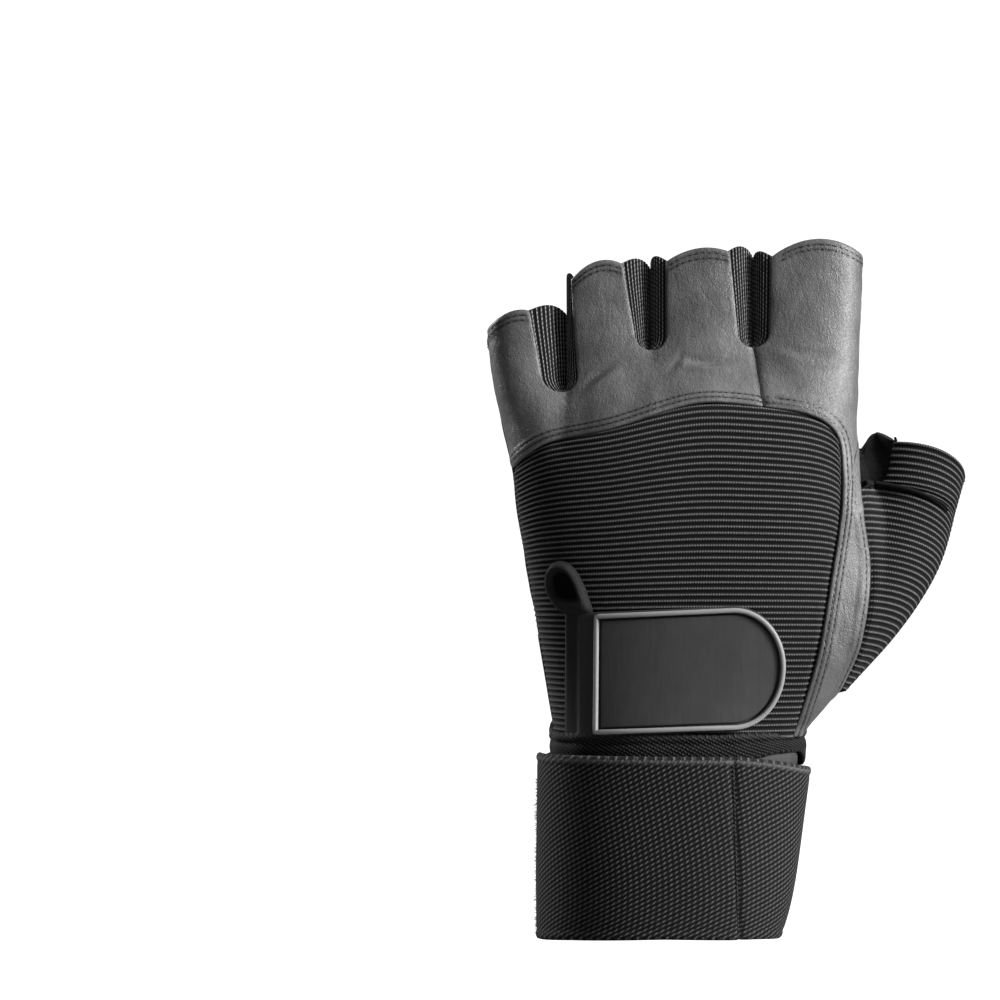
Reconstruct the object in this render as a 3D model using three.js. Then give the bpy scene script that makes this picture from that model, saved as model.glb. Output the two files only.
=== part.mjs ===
// Weightlifting glove for the left hand with a wound elastic wrist wrap, in its worn shape.
// Millimetres. +Z points to the fingertips, the back of the hand faces -Y, the thumb is at +X.
// The zero point is the middle of the wrist opening, on the lower edge of the wrap.
import * as THREE from 'three';

// Overall sizes of the hand part
const PALM_WIDTH = 114; // across the four finger mouths
const PALM_DEPTH = 48; // from the back of the hand to the palm
const HAND_LENGTH = 148; // from the cuff to the highest finger mouth
const FINGER_DEPTH = 20; // of a full finger stall, back to palm
const FINGER_CURL = 9; // how far the mouths lean to the palm side
const PALM_LIP_DROP = 2.5; // palm lips of the mouths below their back lips
const PALM_HOLLOW = 3; // dip in the middle of the palm
const THUMB_WIDTH = 31; // across the thumb mouth
const THUMB_DEPTH = 26; // of the thumb mouth, back to palm
const THUMB_LEAN = 12; // how far the thumb lies to the palm side

// Wrist, cuff and wrap
const WRIST_WIDTH = 68; // inside, across the hand
const WRIST_DEPTH = 43; // inside, back to palm
const WRIST_SHIFT = 0.8; // of the wrist's centre to the thumb side
const WRIST_TAPER = 7; // the thumb side draws in by this much at the lower edge
const HEM_TAPER = 3; // extra draw of the lowest few millimetres
const HEM_POWER = 5; // the higher, the closer that draw keeps to the edge
const WRIST_ROUND = 2.4; // length round the wrist, in its widths
const WRAP_HEIGHT = 54.5;
const WRAP_TURNS = 1.75;
const CUFF_HEIGHT = 6;
const FACING_TUCK = 10; // length of the facing hidden inside the wrap
const HOOK_LENGTH = 7; // of the hook tape past the wrap's free end
const HOOK_INSET = 4; // from the wrap's upper and lower edges

// Walls and clearances
const LEATHER = 1.2;
const STRETCH = 1.4;
const SUEDE = 1;
const WEBBING = 2;
const BAND = 2.6;
const FOURCHETTE = 0.9;
const FACING = 1.2;
const HOOK_TAPE = 1.1;
const SEAM_GAP = 0.3; // between two edges sewn together
const LAYER_GAP = 0.4; // between two pieces lying on each other
const SUEDE_GAP = 0.75; // between the palm leather and the suede on it
const SUEDE_DROP = 7.5; // from a palm lip to the suede's upper edge
const SUEDE_MARGIN = 1.6; // from a leather edge to the suede's edge beside a slot

// Fastening strap on the back
const STRAP_LENGTH = 57; // of the edged plate
const STRAP_HEIGHT = 36;
const STRAP_TIP = 16; // length of the plate's rounded end
const STRAP_LEFT = -24; // the plate's straight end
const STRAP_CLEARANCE = 0.7; // the plate's lower edge over the cuff, at its straight end
const STRAP_RISE = 0.04; // slope of the strap, rise over run
const STRAP_TAB = 8.5; // base strap showing past the straight end
const STRAP_BASE = 1.1;
const PLATE = 1.1;
const PIPING_WIDTH = 1.4;
const PIPING = 1.9;
const LOOP_WIDTH = 5; // of the pull loop's webbing
const LOOP_WALL = 1.6;
const LOOP_LENGTH = 17;
const LOOP_SPREAD = 9.5;
const LOOP_SHIFT = 2.6; // of the loop's root past the plate's straight end
const LOOP_LEAN = 0.69; // of half a turn, from the strap's own direction
const LOOP_NECK = 0.12; // how open the loop stays at its root

// Roundness of the sections, as the power of a superellipse
const BODY_FULLNESS = 2.3;
const FINGER_FULLNESS = 2.3;
const THUMB_FULLNESS = 2;
const VALLEY_SHARE = 0.66; // depth left between two fingers, of a finger's depth
const CROTCH_FADE = 24; // below the crotch the valleys fade out over this length
const CROTCH_RISE = 12; // above it the fingers reach their full form
const BLEND = 3; // softness of the fold between the thumb and the hand
const SKIRT = 1.5; // steepness beyond a silhouette, only met inside the fold
const FOLD_TOP = 0.66; // the fold between thumb and hand ends here, a share of HAND_LENGTH
const FOLD_FADE = 0.05; // and fades over this share of it
const FOLD_START = 5.7; // across the hand, the fold starts here
const FOLD_RUN = 12; // and is whole after this length
const CURL_START = 0.55; // the fingers curl from this share of HAND_LENGTH up
const CURL_POWER = 1.6;
const DIP_NARROWING = 3; // the palm's dip ends where this times the square of the place is 1
const WALL_BULGE = 0.8; // power of a fourchette's swing towards its fingers' boundary
const EDGE_PULL = 6; // power with which a grid's own edge line fades into the grid
const NORMAL_STEP = 0.5; // over which a surface's slope is measured

// Mesh steps
const STRIP_STEPS = 4;
const ARC_STEPS = 6;
const LEG_STEPS = 4;
const HAND_STEPS = 5; // more than half of ARC_STEPS
const PALM_STEPS = 8;
const WEB_STEPS = 3; // of those, beside the web
const WALL_STEPS = 6;
const RING_STEPS = 40;
const PANEL_STEPS = 12;
const CORNER_STEPS = 4; // of those, round the upper corner of the stretch panel
const THUMB_STEPS = 8;
const STRAP_STEPS = 10;
const LOOP_STEPS = 18;

// Places along seams and walls, as shares of a line or of HAND_LENGTH
const INDEX_FORK = 0.74; // where the index leather's seam meets the slot, on its outer side
const STRIP_SHARE = 0.84; // of the strip's length beside the thumb
const STRIP_UNDER_WEB = 0.17; // of the strip's edge above the lower end of the web
const THUMB_CORNER = 0.515; // outer corner of the thumb mouth
const WEB_MARGIN = 0.04;
const FREE_END = 0; // of the wrap, in turns from the little-finger side
const FINGER_PARTING = 0.5; // half the gap between two finger stalls
const WEB_RISE = 3; // of a fourchette's saddle over its slot's bottom
const FOOT_SPLIT = 0.45; // of the palm sheets' lower edge, along the heel
const HEEL_SPLITS = [0.5, 0.85, 1]; // ends of the three lines along the heel leather's upper edge
const THUMB_SPLIT = 0.22; // of the thumb stretch's edge, beside the web
const WRAP_ROWS = [1, 0.66, 0.33, 0.12, 0]; // heights, closer where the hem draws in

const CUFF_FLOOR = WRAP_HEIGHT + SEAM_GAP;
const HAND_FLOOR = CUFF_FLOOR + CUFF_HEIGHT + SEAM_GAP;
const FACING_OUT = FACING; // offsets are counted from the wrist's inner surface
const CUFF_OUT = FACING_OUT + SEAM_GAP + BAND;
const HAND_OUT = FACING_OUT + SEAM_GAP + STRETCH;
const WRAP_OUT = FACING_OUT + SEAM_GAP + WEBBING;
const WRAP_PITCH = WEBBING + LAYER_GAP;
const STRAP_FLOOR = HAND_FLOOR + STRAP_CLEARANCE;
const BASE_LIFT = LAYER_GAP + STRAP_BASE; // from here on lifts are counted from the stretch panel
const PIPING_LIFT = BASE_LIFT + SEAM_GAP + PIPING;
const PLATE_LIFT = BASE_LIFT + SEAM_GAP + PLATE;

// Hand sections: up is a share of HAND_LENGTH, left and right of PALM_WIDTH, depths of PALM_DEPTH
const SECTIONS = [
  { up: 0, left: (WRIST_SHIFT - WRIST_WIDTH / 2 - HAND_OUT) / PALM_WIDTH,
    right: (WRIST_SHIFT + WRIST_WIDTH / 2 + HAND_OUT) / PALM_WIDTH,
    back: (WRIST_DEPTH / 2 + HAND_OUT) / PALM_DEPTH, palm: (WRIST_DEPTH / 2 + HAND_OUT) / PALM_DEPTH },
  { up: 0.09, left: -0.335, right: 0.43, back: 0.5, palm: 0.51 },
  { up: 0.16, left: -0.35, right: 0.5, back: 0.5, palm: 0.53 },
  { up: 0.25, left: -0.37, right: 0.535, back: 0.5, palm: 0.55 },
  { up: 0.43, left: -0.41, right: 0.545, back: 0.49, palm: 0.54 },
  { up: 0.54, left: -0.43, right: 0.5, back: 0.47, palm: 0.5 },
  { up: 0.61, left: -0.45, right: 0.48, back: 0.45, palm: 0.46 },
  { up: 0.7, left: -0.475, right: 0.484, back: 0.41, palm: 0.42 },
  { up: 0.8, left: -0.492, right: 0.49, back: 0.36, palm: 0.37 },
  { up: 1, left: -0.5, right: 0.5, back: 0.33, palm: 0.33 },
];

// Finger stalls: edge is the boundary to the next finger, a share of PALM_WIDTH; depth of FINGER_DEPTH;
// lips are heights at the left and right end of the mouth and its crown, shares of HAND_LENGTH
const FINGERS = [
  { name: 'little', edge: -0.28, depth: 0.86, left: 0.82, right: 0.855, crown: 0.013 },
  { name: 'ring', edge: -0.06, depth: 0.96, left: 0.92, right: 0.95, crown: 0.02 },
  { name: 'middle', edge: 0.21, depth: 1, left: 0.955, right: 0.975, crown: 0.016 },
  { name: 'index', edge: 0.5, depth: 1, left: 0.965, right: 0.97, crown: 0.033 },
];

// Slots between the fingers on the back and on the palm: left and right edges at the mouth and
// low down, middle of the round bottom and its height, as shares of PALM_WIDTH and HAND_LENGTH
const SLOTS = {
  back: [
    { topLeft: -0.385, topRight: -0.27, lowLeft: -0.355, lowRight: -0.255, middle: -0.3, floor: 0.69 },
    { topLeft: -0.14, topRight: -0.02, lowLeft: -0.108, lowRight: -0.02, middle: -0.064, floor: 0.775 },
    { topLeft: 0.142, topRight: 0.256, lowLeft: 0.162, lowRight: 0.25, middle: 0.205, floor: 0.78 },
  ],
  palm: [
    { topLeft: -0.31, topRight: -0.24, lowLeft: -0.3, lowRight: -0.225, middle: -0.262, floor: 0.67 },
    { topLeft: -0.085, topRight: 0.005, lowLeft: -0.07, lowRight: 0.01, middle: -0.03, floor: 0.735 },
    { topLeft: 0.19, topRight: 0.275, lowLeft: 0.2, lowRight: 0.275, middle: 0.238, floor: 0.745 },
  ],
};

// Thumb stall: up of HAND_LENGTH, across of PALM_WIDTH, half width and half depth of the thumb's
// sizes, lean of THUMB_LEAN
const THUMB = [
  { up: 0.02, across: 0.25, half: 0.45, deep: 0.62, lean: 0.05 },
  { up: 0.11, across: 0.33, half: 0.54, deep: 0.7, lean: 0.15 },
  { up: 0.19, across: 0.41, half: 0.6, deep: 0.74, lean: 0.25 },
  { up: 0.27, across: 0.48, half: 0.63, deep: 0.72, lean: 0.4 },
  { up: 0.35, across: 0.545, half: 0.6, deep: 0.66, lean: 0.6 },
  { up: 0.47, across: 0.61, half: 0.53, deep: 0.55, lean: 0.85 },
  { up: 0.6, across: 0.67, half: 0.49, deep: 0.5, lean: 1 },
];

// Seam lines: across is a share of PALM_WIDTH, up of HAND_LENGTH
const KNUCKLE_SEAM = [
  { across: -0.43, up: 0.54 }, { across: -0.34, up: 0.59 }, { across: -0.17, up: 0.62 },
  { across: 0.05, up: 0.67 }, { across: 0.225, up: 0.665 },
];
const INDEX_SEAM = [
  { across: 0.225, up: 0.665 }, { across: 0.34, up: 0.65 }, { across: 0.41, up: 0.62 },
  { across: 0.436, up: 0.57 }, { across: 0.435, up: 0.46 }, { across: 0.41, up: 0.33 },
  { across: 0.37, up: 0.16 }, { across: 0.31, up: 0 },
];
const INDEX_SEAM_CORNER = 0.42; // share of the index seam's length that borders the top of the panel
const STRIP_EDGE = [
  { across: 0.481, up: 0.6 }, { across: 0.486, up: 0.46 }, { across: 0.505, up: 0.35 },
  { across: 0.497, up: 0.26 }, { across: 0.475, up: 0.17 }, { across: 0.43, up: 0.09 },
];
const STRIP_END = STRIP_EDGE[STRIP_EDGE.length - 1].up;
const THUMB_SEAM = [
  { across: 0.69, up: 0.485 }, { across: 0.61, up: 0.38 }, { across: 0.51, up: 0.26 },
  { across: 0.4, up: 0.14 }, { across: 0.33, up: 0.075 },
];
const THUMB_BORDER = [
  { across: 0.55, up: 0.545 }, { across: 0.52, up: 0.44 }, { across: 0.42, up: 0.35 },
  { across: 0.27, up: 0.265 }, { across: 0.115, up: 0.225 },
];
const HEEL_SEAM = [
  { across: 0.115, up: 0.225 }, { across: 0.14, up: 0.13 }, { across: 0.22, up: 0.08 },
  { across: 0.33, up: 0.075 },
];
const PALM_EDGE = [
  { across: -0.36, up: 0.2 }, { across: -0.2, up: 0.2 }, { across: 0.115, up: 0.225 },
];
const WEB_FOOT = [
  { across: 0.488, up: 0.5 }, { across: 0.54, up: 0.53 }, { across: 0.578, up: 0.59 },
];
const WEB_CREST = [
  { across: 0.484, up: 0.6 }, { across: 0.53, up: 0.605 }, { across: 0.58, up: 0.605 },
];
const WEB_PALM_EDGE = [
  { across: 0.481, up: 0.59 }, { across: 0.51, up: 0.57 }, { across: 0.55, up: 0.545 },
];

const COLOURS = {
  backLeather: { color: 0x6e6e6e, roughness: 0.5, metalness: 0 },
  palmLeather: { color: 0x4c4c4c, roughness: 0.55, metalness: 0 },
  stretch: { color: 0x1e1e1e, roughness: 0.9, metalness: 0 },
  suede: { color: 0x242424, roughness: 0.95, metalness: 0 },
  webbing: { color: 0x191919, roughness: 0.85, metalness: 0 },
  facing: { color: 0x454545, roughness: 0.6, metalness: 0 },
  plate: { color: 0x2c2c2c, roughness: 0.4, metalness: 0 },
  piping: { color: 0x9a9a9a, roughness: 0.5, metalness: 0 },
  hook: { color: 0x3a3a3a, roughness: 0.95, metalness: 0 },
};

const mix = (a, b, t) => a + (b - a) * t;
const clamp = (t) => Math.min(Math.max(t, 0), 1);
const ease = (t) => clamp(t) * clamp(t) * (3 - 2 * clamp(t));
const steps = (count) => Array.from({ length: count + 1 }, (_, i) => i / count);
const upShare = (z) => (z - HAND_FLOOR) / HAND_LENGTH;
const upTo = (share) => HAND_FLOOR + share * HAND_LENGTH;

// A superellipse quarter: 1 in the middle, 0 and upright at the ends.
function dome(s, power) {
  const edge = Math.min(Math.abs(s), 1);
  return (1 - edge ** power) ** (1 / power);
}

// Smooth value of one column of a table of rows sorted by up.
function along(rows, column, place) {
  const last = rows.length - 1;
  const t = Math.min(Math.max(place, rows[0].up), rows[last].up);
  const next = Math.max(1, rows.findIndex((row) => row.up >= t));
  const slope = (k) => {
    const a = rows[Math.max(k - 1, 0)];
    const b = rows[Math.min(k + 1, last)];
    return (b[column] - a[column]) / (b.up - a.up);
  };
  const span = rows[next].up - rows[next - 1].up;
  const s = (t - rows[next - 1].up) / span;
  const lift = s * s * (3 - 2 * s);
  const start = slope(next - 1) * span * s * (1 - s) * (1 - s);
  const end = slope(next) * span * s * s * (1 - s);
  return mix(rows[next - 1][column], rows[next][column], lift) + start - end;
}

// Soft larger of two values.
function softMax(a, b) {
  const top = Math.max(a, b);
  return top + BLEND * Math.log(Math.exp((a - top) / BLEND) + Math.exp((b - top) / BLEND));
}

// Left and right silhouette of the hand at a height.
function silhouettes(z) {
  const up = upShare(z);
  return [along(SECTIONS, 'left', up) * PALM_WIDTH, along(SECTIONS, 'right', up) * PALM_WIDTH];
}

// Depth of the hand below the fingers, a superellipse across it.
function handDepth(x, z, side) {
  const [left, right] = silhouettes(z);
  const s = (2 * x - left - right) / (right - left);
  const dip = Math.max(0, 1 - DIP_NARROWING * s * s) * ease(1 - upShare(z));
  const hollow = side === 'palm' ? PALM_HOLLOW * dip : 0;
  return along(SECTIONS, side, upShare(z)) * PALM_DEPTH * dome(s, BODY_FULLNESS) - hollow;
}

// Depth of the row of fingers: ovals with a valley left between them.
function fingerDepth(x, z) {
  const [left, right] = silhouettes(z);
  const found = FINGERS.findIndex((finger) => x < finger.edge * PALM_WIDTH);
  const i = found < 0 ? FINGERS.length - 1 : found;
  const from = i === 0 ? left : FINGERS[i - 1].edge * PALM_WIDTH;
  const to = i === FINGERS.length - 1 ? right : FINGERS[i].edge * PALM_WIDTH;
  const s = (2 * x - from - to) / (to - from);
  const outer = (i === 0 && s < 0) || (i === FINGERS.length - 1 && s > 0);
  const valley = outer ? 0 : VALLEY_SHARE;
  return (FINGER_DEPTH / 2) * FINGERS[i].depth * mix(valley, 1, dome(s, FINGER_FULLNESS));
}

// Height of the crotch line at x, straight between the bottoms of the slots.
function crotchHeight(x, side) {
  const slots = SLOTS[side];
  const share = x / PALM_WIDTH;
  const next = Math.min(Math.max(slots.findIndex((slot) => slot.middle > share), 1), slots.length - 1);
  const a = slots[next - 1];
  const b = slots[next];
  return upTo(mix(a.floor, b.floor, clamp((share - a.middle) / (b.middle - a.middle))));
}

// How far the middle of the hand's depth has moved to the palm side.
function curl(z) {
  return FINGER_CURL * clamp((upShare(z) - CURL_START) / (1 - CURL_START)) ** CURL_POWER;
}

// Middle depth, half width and half depth of the thumb, and its centre across.
function thumbSection(z) {
  const up = upShare(z);
  return {
    x: along(THUMB, 'across', up) * PALM_WIDTH,
    y: along(THUMB, 'lean', up) * THUMB_LEAN,
    half: along(THUMB, 'half', up) * THUMB_WIDTH,
    deep: along(THUMB, 'deep', up) * THUMB_DEPTH,
  };
}

// Depth of the glove's outer surface from y = 0: the hand and the thumb joined by a soft fold.
function surfaceY(x, z, side) {
  const sign = side === 'back' ? -1 : 1;
  const crotch = crotchHeight(x, side);
  const fingers = ease((z - crotch + CROTCH_FADE) / (CROTCH_FADE + CROTCH_RISE));
  const depth = mix(handDepth(x, z, side), fingerDepth(x, z), fingers);
  const right = silhouettes(z)[1];
  const hand = sign * curl(z) + depth - SKIRT * Math.max(0, x - right);
  const thumb = thumbSection(z);
  const s = (x - thumb.x) / thumb.half;
  const skirt = SKIRT * thumb.half * Math.max(0, -1 - s);
  const thumbY = sign * thumb.y + thumb.deep * dome(s, THUMB_FULLNESS) - skirt;
  const below = ease((upTo(FOLD_TOP) - z) / (HAND_LENGTH * FOLD_FADE));
  const near = below * ease((x - FOLD_START) / FOLD_RUN);
  return sign * mix(hand, softMax(hand, thumbY), near);
}

// Point of the surface at x and z, lifted off it along its normal.
function onSurface(x, z, side, lift = 0) {
  const step = NORMAL_STEP;
  const y = surfaceY(x, z, side);
  if (lift === 0) return new THREE.Vector3(x, y, z);
  const slopeX = (surfaceY(x + step, z, side) - surfaceY(x - step, z, side)) / (2 * step);
  const slopeZ = (surfaceY(x, z + step, side) - surfaceY(x, z - step, side)) / (2 * step);
  const out = new THREE.Vector3(-slopeX, 1, -slopeZ).normalize();
  return new THREE.Vector3(x, y, z).addScaledVector(out, side === 'back' ? -lift : lift);
}

// Smooth line through a seam's points, as a function of the share of its length.
function seam(points) {
  const curve = new THREE.SplineCurve(
    points.map((p) => new THREE.Vector2(p.across * PALM_WIDTH, upTo(p.up))),
  );
  return (t) => curve.getPointAt(clamp(t));
}

const part = (curve, from, to) => (t) => curve(mix(from, to, t));
const shifted = (curve, x, z) => (t) => curve(t).clone().add(new THREE.Vector2(x, z));
const straight = (a, b) => (t) => a.clone().lerp(b, t);

// Flat grid filled between four edge lines that meet at the corners.
function fillEdges(top, bottom, left, right, across, down) {
  return steps(down).map((v) => steps(across).map((u) => {
    const ruled = top(u).clone().lerp(bottom(u), v);
    const a = left(v).clone().sub(top(0).clone().lerp(bottom(0), v));
    const b = right(v).clone().sub(top(1).clone().lerp(bottom(1), v));
    return ruled.add(a.multiplyScalar(1 - u)).add(b.multiplyScalar(u));
  }));
}

// Closed wall under a grid of outer points: inner points go in along the averaged normals.
// Points may carry rim, which keeps their normal level, or inner, their own inner point.
function wallSolid(points, quads, wall) {
  const normals = points.map(() => new THREE.Vector3());
  const across = new THREE.Vector3();
  const down = new THREE.Vector3();
  quads.forEach(([a, b, c, d]) => {
    across.subVectors(points[c], points[a]);
    down.subVectors(points[d], points[b]);
    across.cross(down);
    [a, b, c, d].forEach((k) => normals[k].add(across));
  });
  const inner = points.map((p, k) => {
    if (p.inner) return p.inner;
    if (p.rim) normals[k].y = 0;
    return p.clone().addScaledVector(normals[k].normalize(), -wall);
  });
  const count = points.length;
  const index = [];
  const edges = new Map();
  quads.forEach(([a, b, c, d]) => {
    index.push(a, b, c, a, c, d);
    index.push(a + count, c + count, b + count, a + count, d + count, c + count);
    [[a, b], [b, c], [c, d], [d, a]].forEach(([p, q]) => edges.set(`${p} ${q}`, [p, q]));
  });
  edges.forEach(([p, q]) => {
    if (edges.has(`${q} ${p}`)) return;
    index.push(q, p, p + count, q, p + count, q + count);
  });
  const used = [...new Set(index)].sort((a, b) => a - b);
  const place = new Map(used.map((k, i) => [k, i]));
  const all = [...points, ...inner];
  const geometry = new THREE.BufferGeometry();
  const flat = used.flatMap((k) => all[k].toArray());
  geometry.setAttribute('position', new THREE.Float32BufferAttribute(flat, 3));
  geometry.setIndex(index.map((k) => place.get(k)));
  geometry.computeVertexNormals();
  return geometry;
}

// Wall from rows of points. Cells that skip(row, column) names are left out, closed joins the
// last column to the first, and flip turns the outside round.
function gridSolid(rows, wall, { skip = () => false, closed = false, flip = false } = {}) {
  const width = rows[0].length;
  const points = rows.flat();
  const quads = [];
  const cells = closed ? width : width - 1;
  for (let r = 0; r < rows.length - 1; r += 1) {
    for (let c = 0; c < cells; c += 1) {
      const next = (c + 1) % width;
      const quad = [r * width + c, (r + 1) * width + c, (r + 1) * width + next, r * width + next];
      if (!skip(r, c)) quads.push(flip ? quad.reverse() : quad);
    }
  }
  return wallSolid(points, quads, wall);
}

// Lip height of a finger's mouth at a share of its width, on the back or the palm.
function lipHeight(finger, t, side) {
  const drop = side === 'palm' ? PALM_LIP_DROP : 0;
  return upTo(mix(finger.left, finger.right, t) + finger.crown * 4 * t * (1 - t)) - drop;
}

// One side of a slot from the mouth down, its round bottom, and the other side from the bottom up.
// inset moves the line into the slot.
function slotOutline(i, side, inset = 0) {
  const slot = SLOTS[side][i];
  const low = { left: slot.lowLeft * PALM_WIDTH + inset, right: slot.lowRight * PALM_WIDTH - inset };
  const radius = (low.right - low.left) / 2;
  const middle = (low.right + low.left) / 2;
  const shoulder = upTo(slot.floor) + inset + radius;
  const leg = (x0, x1, top) => steps(LEG_STEPS).map((t) => {
    return new THREE.Vector2(mix(x0, x1, t), mix(top, shoulder, t));
  });
  const left = leg(slot.topLeft * PALM_WIDTH + inset, low.left, lipHeight(FINGERS[i], 1, side));
  const right = leg(slot.topRight * PALM_WIDTH - inset, low.right, lipHeight(FINGERS[i + 1], 0, side));
  const arc = steps(ARC_STEPS).map((t) => {
    const angle = Math.PI * t;
    const lean = (slot.middle * PALM_WIDTH - middle) * Math.sin(angle);
    return new THREE.Vector2(middle - radius * Math.cos(angle) + lean, shoulder - radius * Math.sin(angle));
  });
  return { left, arc, right };
}

// Spacing across a strip, closer where it runs out at a silhouette.
function stripSteps(atLeft, atRight) {
  return steps(STRIP_STEPS).map((t) => {
    if (atLeft) return 1 - Math.cos((Math.PI / 2) * t);
    if (atRight) return Math.sin((Math.PI / 2) * t);
    return t;
  });
}

// Flat grid of a leather with finger strips and slots, from finger first to finger last.
// foot is the lower edge, drop lowers the mouths, margin keeps clear of slots and silhouettes,
// and edge gives the last column's point in each row, where it isn't the silhouette.
function strippedGrid({ side, first, last, foot, down, drop = 0, margin = 0, edge }) {
  const slots = FINGERS.slice(first, last).map((_, k) => slotOutline(first + k, side, -margin));
  const floors = SLOTS[side].map((slot) => upTo(slot.floor));
  const outline = (f, share, t) => {
    const low = floors[Math.min(f, floors.length - 1)];
    return mix(lipHeight(FINGERS[f], share, side), low, t);
  };
  const rows = steps(LEG_STEPS).map((t, r) => {
    const row = [];
    for (let f = first; f <= last; f += 1) {
      const outerLeft = outline(f, 0, t);
      const outerRight = outline(f, 1, t);
      const a = f === first
        ? new THREE.Vector2(silhouettes(outerLeft)[0] + margin, outerLeft) : slots[f - first - 1].right[r];
      const own = edge ? edge(r) : new THREE.Vector2(silhouettes(outerRight)[1] - margin, outerRight);
      const b = f === last ? own : slots[f - first].left[r];
      stripSteps(f === 0, f === FINGERS.length - 1).forEach((u) => {
        const p = a.clone().lerp(b, u);
        if (r === 0) p.y = lipHeight(FINGERS[f], u, side);
        p.y -= drop * (1 - t);
        row.push(p);
      });
      if (f < last) slots[f - first].arc.slice(1, -1).forEach((p) => row.push(p.clone()));
    }
    return row;
  });
  const base = rows[rows.length - 1];
  const total = base.length - 1;
  for (let k = 1; k <= down; k += 1) {
    const own = edge ? edge(LEG_STEPS + k) : null;
    rows.push(base.map((p, c) => {
      const ruled = p.clone().lerp(foot(c / total), k / down);
      ruled.x += (k / down) * margin * Math.max(0, 1 - c / STRIP_STEPS);
      if (!own) return ruled;
      const pull = own.clone().sub(base[total].clone().lerp(foot(1), k / down));
      return ruled.add(pull.multiplyScalar((c / total) ** EDGE_PULL));
    }));
  }
  const block = STRIP_STEPS + ARC_STEPS;
  return { rows, skip: (r, c) => r < LEG_STEPS && c % block >= STRIP_STEPS };
}

// Grid with its outer lines drawn in by a gap, each towards its own neighbour.
function drawnIn(rows, gap, sides = ['top', 'bottom', 'left', 'right']) {
  const last = rows.length - 1;
  const end = rows[0].length - 1;
  const pull = (p, q) => p.clone().add(q.clone().sub(p).setLength(gap));
  const out = rows.map((row) => row.map((p) => p.clone()));
  if (sides.includes('top')) out[0] = out[0].map((p, c) => pull(p, rows[1][c]));
  if (sides.includes('bottom')) out[last] = out[last].map((p, c) => pull(p, rows[last - 1][c]));
  out.forEach((row, r) => {
    if (sides.includes('left')) row[0] = pull(row[0], out[r][1]);
    if (sides.includes('right')) row[end] = pull(row[end], out[r][end - 1]);
  });
  return out;
}

// Sheet on the surface from a flat grid. rim(row, column) tells which points lie on the middle
// plane of the hand, where the back and the palm meet.
function sheet(rows, side, wall, { lift = 0, rim = () => false, skip, flip = side === 'palm' } = {}) {
  const points = rows.map((row, r) => row.map((p, c) => {
    const point = onSurface(p.x, p.y, side, lift);
    if (lift > 0) point.inner = onSurface(p.x, p.y, side, lift - wall);
    if (rim(r, c)) {
      point.y = curl(p.y) + (side === 'back' ? -SEAM_GAP : SEAM_GAP);
      point.rim = true;
    }
    return point;
  }));
  return gridSolid(points, wall, { skip, flip });
}

const silhouetteLine = (which, from, to) => (t) => {
  const z = upTo(mix(from, to, t));
  return new THREE.Vector2(silhouettes(z)[which], z);
};

// Several lines one after the other; at gives the share where each one ends.
function chain(lines, at) {
  return (t) => {
    const k = Math.min(at.findIndex((end) => t <= end), lines.length - 1);
    const from = k === 0 ? 0 : at[k - 1];
    return lines[k](clamp((t - from) / (at[k] - from)));
  };
}

const reversed = (line) => (t) => line(1 - t);

// Right edge of the knuckle leather: the index slot's left side, half its bottom, then the seam.
function knuckleEdge(row) {
  const slot = slotOutline(2, 'back');
  if (row <= LEG_STEPS) return slot.left[row].clone();
  const half = ARC_STEPS / 2;
  const k = row - LEG_STEPS;
  if (k <= half) return slot.arc[k].clone();
  return slot.arc[half].clone().lerp(seam(KNUCKLE_SEAM)(1), (k - half) / (HAND_STEPS - half));
}

// Leather over the knuckles with the backs of the little, ring and middle finger.
function backKnuckleLeather() {
  const grid = strippedGrid({
    side: 'back', first: 0, last: 2, foot: seam(KNUCKLE_SEAM), down: HAND_STEPS, edge: knuckleEdge,
  });
  return sheet(grid.rows, 'back', LEATHER, { rim: (r, c) => c === 0, skip: grid.skip });
}

// Leather of the index finger's back, running on as a strip down the thumb side to the cuff.
function backIndexLeather() {
  const slot = slotOutline(2, 'back');
  const half = ARC_STEPS / 2;
  const inner = [...slot.right, ...slot.arc.slice(half, -1).reverse()];
  const fork = inner.length;
  const line = seam(INDEX_SEAM);
  const corner = CORNER_STEPS;
  const tail = PANEL_STEPS;
  for (let k = 0; k <= corner; k += 1) inner.push(line(INDEX_SEAM_CORNER * (k / corner)));
  for (let k = 1; k <= tail; k += 1) inner.push(line(mix(INDEX_SEAM_CORNER, 1, k / tail)));
  const web = STRIP_EDGE[0].up;
  const strip = seam(STRIP_EDGE);
  const lip = upShare(lipHeight(FINGERS[3], 1, 'back'));
  const outer = inner.map((p, k) => {
    if (k <= fork) return silhouetteLine(1, lip, INDEX_FORK)(k / fork);
    if (k <= fork + corner) return silhouetteLine(1, INDEX_FORK, web)((k - fork) / corner);
    const t = (k - fork - corner) / tail;
    return t <= STRIP_SHARE ? strip(t / STRIP_SHARE)
      : silhouetteLine(1, STRIP_END, 0)((t - STRIP_SHARE) / (1 - STRIP_SHARE));
  });
  const rows = inner.map((p, k) => stripSteps(false, k <= fork + corner).map((u) => {
    const q = p.clone().lerp(outer[k], u);
    if (k === 0) q.y = lipHeight(FINGERS[3], u, 'back');
    return q;
  }));
  const points = drawnIn(rows, SEAM_GAP, ['left']).map((row, k) => row.map((p, c) => {
    const point = onSurface(p.x, p.y, 'back');
    const onHand = k <= fork + corner || k === inner.length - 1;
    if (c === STRIP_STEPS && onHand) {
      point.y = curl(p.y) - SEAM_GAP;
      point.rim = true;
    }
    return point;
  }));
  return gridSolid(points, LEATHER);
}

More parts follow.
